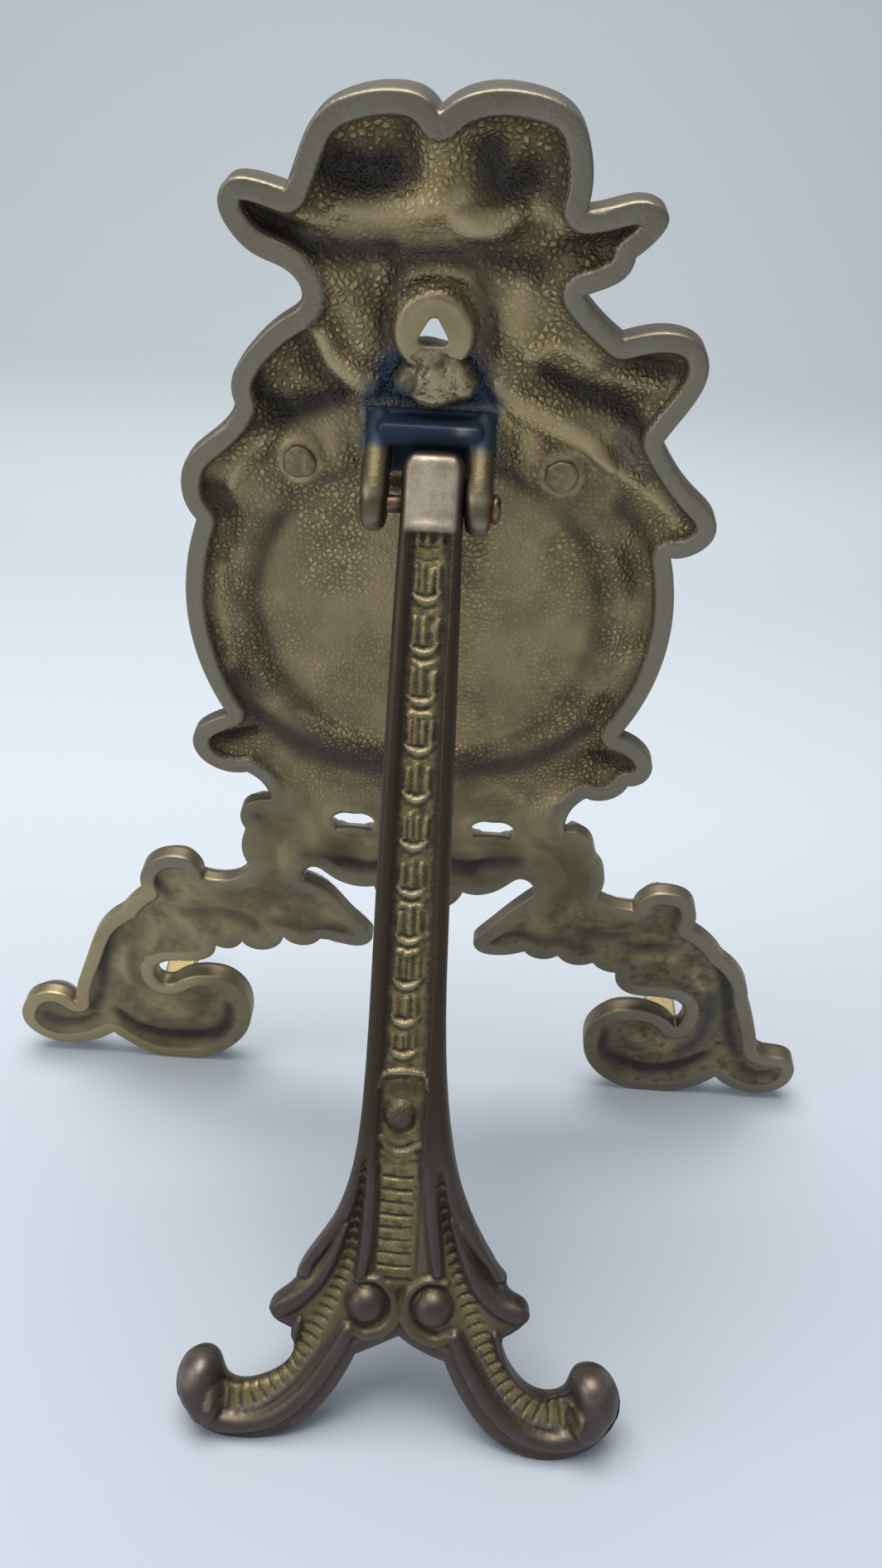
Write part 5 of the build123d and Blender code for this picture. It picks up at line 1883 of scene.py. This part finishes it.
@dataclass
class RingRivets:
    """The three rivets of the ring, hammered flat in the hollow."""

    radius: float = 1.25
    head_radius: float = 2.3
    head: float = 0.8
    seat: float = -1.7
    reach: float = -7.6

    def make(self, lay: Lay, name: str, at: tuple[float, float], seed: float) -> Piece:
        """Draw one rivet's head out of its shank and dent it.

        Args:
            lay: the panel's plane.
            name: the CAD node's name.
            at: its place on the panel.
            seed: picks its own dents.

        Returns:
            The rivet.
        """
        work = Work.start(f"{name}_head", "cylinder", (0, 0, (self.seat + self.reach) / 2),
                          (2 * self.radius, 2 * self.radius, self.seat - self.reach), 48)
        work.pick(lambda place, normal: normal.z > 0.9)
        spread = self.head_radius / self.radius
        for rise, scale in ((0.01, spread), (0.34, 1.0), (0.22, 0.95), (0.13, 0.89), (0.07, 0.8), (0.03, 0.72),
                            (0.0, 0.7), (0.0, 0.6), (0.0, 0.5)):
            work.draw_out(rise * self.head / 0.8, scale)
        piece = work.piece
        points = get_points(piece)
        near = points[:, 2] > self.seat + 0.1
        dents = np.array([noise.noise(Vector((a * 0.9, b * 0.9, seed))) for a, b, _ in points])
        turn = np.arctan2(points[:, 1], points[:, 0])
        points[near, :2] *= (1 + 0.05 * np.cos(3 * turn[near] + seed) + 0.03 * np.cos(7 * turn[near]))[:, None]
        points[near, 2] += 0.22 * np.clip(dents[near], -1, 0.0)
        points[:, :2] += np.array(at)
        set_points(piece, lay.place(points))
        piece.data.shade_smooth()
        return piece


@dataclass
class AlbumRest:
    """A front ledge with its upturned lip, cast and eased."""

    voxel_mm: float = 0.28
    rounds: int = 7
    lip_low: float = 12.5
    lip_high: float = 19.6
    drop: float = 1.6

    def make(self, lay: Lay, node: str) -> Piece:
        """Round one rest and paint its wear, with painted shade where it meets the panel."""
        piece = bpy.data.objects.new(f"{node}_cast", frame["nodes"][node].data.copy())
        bpy.context.scene.collection.objects.link(piece)
        in_edit(piece, bpy.ops.mesh.remove_doubles, threshold=1e-6)
        run_together(piece, self.voxel_mm * MM, self.rounds)
        points = lay.read(get_points(piece))
        middle = 0.5 * (points[:, 0].min() + points[:, 0].max())
        share = np.clip((points[:, 1] - self.lip_low) / (self.lip_high - self.lip_low), 0, 0.97)
        points[:, 0] = middle + (points[:, 0] - middle) * np.sqrt(1 - share ** 2)
        points[:, 1] -= self.drop * share ** 2
        set_points(piece, lay.place(points))
        # painted shade where the rest meets the panel's front
        paint_points(piece, {"gold": 0.7, "tops": 0.5 * smooth(16.0, 17.8, points[:, 1]),
                             "soot": 0.5 * smooth(-9.6, -8.0, points[:, 2])})
        return piece


# -------- studio

@dataclass
class Studio:
    """Pale seamless floor, soft lamps and the camera."""

    eye: Vector = field(default_factory=lambda: Vector((-0.010037, 0.164890, 0.172126)))
    pitch: float = math.radians(28.058)
    yaw: float = math.radians(1.636)
    roll: float = math.radians(2.895)
    lens_mm: float = 27.038055
    sensor_mm: float = 36.0

    def camera(self) -> None:
        """Set up the camera."""
        aim = Vector((math.sin(self.yaw) * math.cos(self.pitch), -math.cos(self.yaw) * math.cos(self.pitch),
                      -math.sin(self.pitch)))
        level = aim.cross(Vector((0, 0, 1))).normalized()
        above = level.cross(aim)
        right = math.cos(self.roll) * level + math.sin(self.roll) * above
        top = -math.sin(self.roll) * level + math.cos(self.roll) * above
        turn = Matrix((right, top, -aim)).transposed().to_4x4()
        data = bpy.data.cameras.new("studio_camera")
        data.sensor_width = self.sensor_mm
        data.lens = self.lens_mm
        data.clip_start = 0.005
        camera = bpy.data.objects.new("studio_camera", data)
        camera.matrix_world = Matrix.Translation(self.eye) @ turn
        bpy.context.scene.collection.objects.link(camera)
        bpy.context.scene.camera = camera

    def sweep(self) -> None:
        """Lay the seamless floor that curves up behind, with painted light falloff across it."""
        profile = [(1.2, 0.0), (0.4, 0.0), (0.0, 0.0), (-0.35, 0.0)]
        for k in range(1, 17):
            angle = math.pi / 2 * k / 16
            profile.append((-0.35 - 0.3 * math.sin(angle), 0.3 - 0.3 * math.cos(angle)))
        profile.append((-0.65, 1.6))
        rows = [(x, y, z) for y, z in profile for x in (-1.5, 1.5)]
        faces = [(2 * k, 2 * k + 2, 2 * k + 3, 2 * k + 1) for k in range(len(profile) - 1)]
        floor = new_object("studio_sweep", np.array(rows), faces)
        b = Bench("pale_paper")
        tone = b.blend(b.cloud(160.0, 2.0).step(0.3, 0.7), (0.468, 0.508, 0.563), (0.488, 0.528, 0.583))
        # painted light falloff: the paper is darker on the camera's side, lighter behind the stand and darker again up
        # the curve
        tone = b.blend((0.0 - b.axis("Y")).step(-0.03, 0.16), tone, (0.578, 0.622, 0.663))
        tone = b.blend(b.axis("Z").step(0.008, 0.068), tone, (0.450, 0.485, 0.512))
        floor.data.materials.append(b.finish(Base_Color=tone, Roughness=0.75, Specular_IOR_Level=0.2))

    def lamp(self, name: str, place: Vector, aim: Vector, size: float, watts: float, colour: Colour) -> None:
        """Hang one soft lamp.

        Args:
            name: the lamp's name.
            place: where it hangs.
            aim: what it points at.
            size: side of its square.
            watts: its power.
            colour: its colour.
        """
        data = bpy.data.lights.new(name, "AREA")
        data.shape = "SQUARE"
        data.size = size
        data.energy = watts
        data.color = colour
        lamp = bpy.data.objects.new(name, data)
        turn = (aim - place).to_track_quat("-Z", "Y").to_matrix().to_4x4()
        lamp.matrix_world = Matrix.Translation(place) @ turn
        bpy.context.scene.collection.objects.link(lamp)

    def world(self) -> None:
        """Fill the room with soft light."""
        world = bpy.data.worlds.new("studio_room")
        world.use_nodes = True
        light_in = world.node_tree.nodes["Background"].inputs
        light_in["Color"].default_value = (0.80, 0.86, 0.94, 1.0)
        light_in["Strength"].default_value = 0.42
        bpy.context.scene.world = world

    def make(self) -> None:
        """Build the studio."""
        bpy.context.scene.view_settings.view_transform = "Standard"
        self.camera()
        self.sweep()
        self.world()
        middle = Vector((0.0, 0.0, 0.07))
        self.lamp("overhead", Vector((0.08, 0.02, 0.85)), middle, 0.6, 8.4, (1.0, 0.99, 0.97))
        self.lamp("left_window", Vector((0.75, 0.45, 0.45)), middle, 0.5, 2.2, (0.92, 0.96, 1.0))


# -------- assembly

def hand_over(piece: Piece, material: bpy.types.Material, body: str, node: str) -> None:
    """Dress a finished piece and hang it on the frame.

    Args:
        piece: the finished piece.
        material: its material.
        body: the CAD body it rides on.
        node: the CAD node it stands for.
    """
    piece.data.materials.clear()
    piece.data.materials.append(material)
    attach(piece, body)
    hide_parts(node)
    piece.data.calc_loop_triangles()
    log.info("%s: %d triangles", piece.name, len(piece.data.loop_triangles))


def main() -> None:
    """Build and dress the stand."""
    logging.basicConfig(level=logging.INFO, format="%(name)s %(message)s")
    Studio().make()
    setting = StandSetting()
    panel_lay, strut_lay = setting.panel(), setting.strut()
    brass = CastBrass().make()
    dark_brass = CastBrass(name="dark_brass", skin=(0.20, 0.165, 0.095), shade=(0.11, 0.085, 0.05),
                           gold=(0.285, 0.224, 0.096), brown=(0.064, 0.047, 0.031), filed=(0.105, 0.082, 0.077),
                           worn_and_highlight=(0.64, 0.53, 0.41), pebble_mm=0.45, pebble_depth=0.08).make()
    copper = PlainMetal("dull_copper", (0.32, 0.19, 0.13), (0.10, 0.06, 0.04), 0.38).make()
    braze = CastBrass(name="rough_braze", skin=(0.34, 0.275, 0.16), shade=(0.22, 0.175, 0.11),
                      gold=(0.46, 0.365, 0.205), pebble_depth=0.0).make()
    peened = PlainMetal("peened_brass", (0.29, 0.235, 0.14), (0.20, 0.16, 0.095), 0.48, 1.1, 0.12).make()
    panel = PanelCasting(panel_lay)
    hand_over(panel.make(), brass, "stand", "panel")
    hand_over(StrutCasting(strut_lay).make(), dark_brass, "prop", "strut")
    stained = CastBrass(name="heat_stained_brass", skin=(0.17, 0.135, 0.072), shade=(0.115, 0.09, 0.05),
                        gold=(0.30, 0.24, 0.125), haze=(0.05, 0.06, 0.07), blued=(0.027, 0.044, 0.072),
                        pebble_depth=0.0).make()
    hand_over(HingeBracket().make(panel_lay), stained, "stand", "hinge_bracket")
    hand_over(HingePin().make(setting), copper, "stand", "hinge_pin")
    hand_over(BrazeLump().make(panel_lay), braze, "stand", "bracket_braze")
    hand_over(MedallionRing().make(panel_lay, panel.medallion), brass, "stand", "medallion_ring")
    for seed, (name, at) in enumerate(zip(("left", "right", "lower"), panel.rivets)):
        node = f"ring_rivet_{name}"
        rivet = RingRivets().make(panel_lay, node, at, 3.1 * seed + 1)
        hand_over(rivet, peened, "stand", node)
    for node in ("rest_left", "rest_right"):
        hand_over(AlbumRest().make(panel_lay, node), brass, "stand", node)


if __name__ == "__main__":
    main()
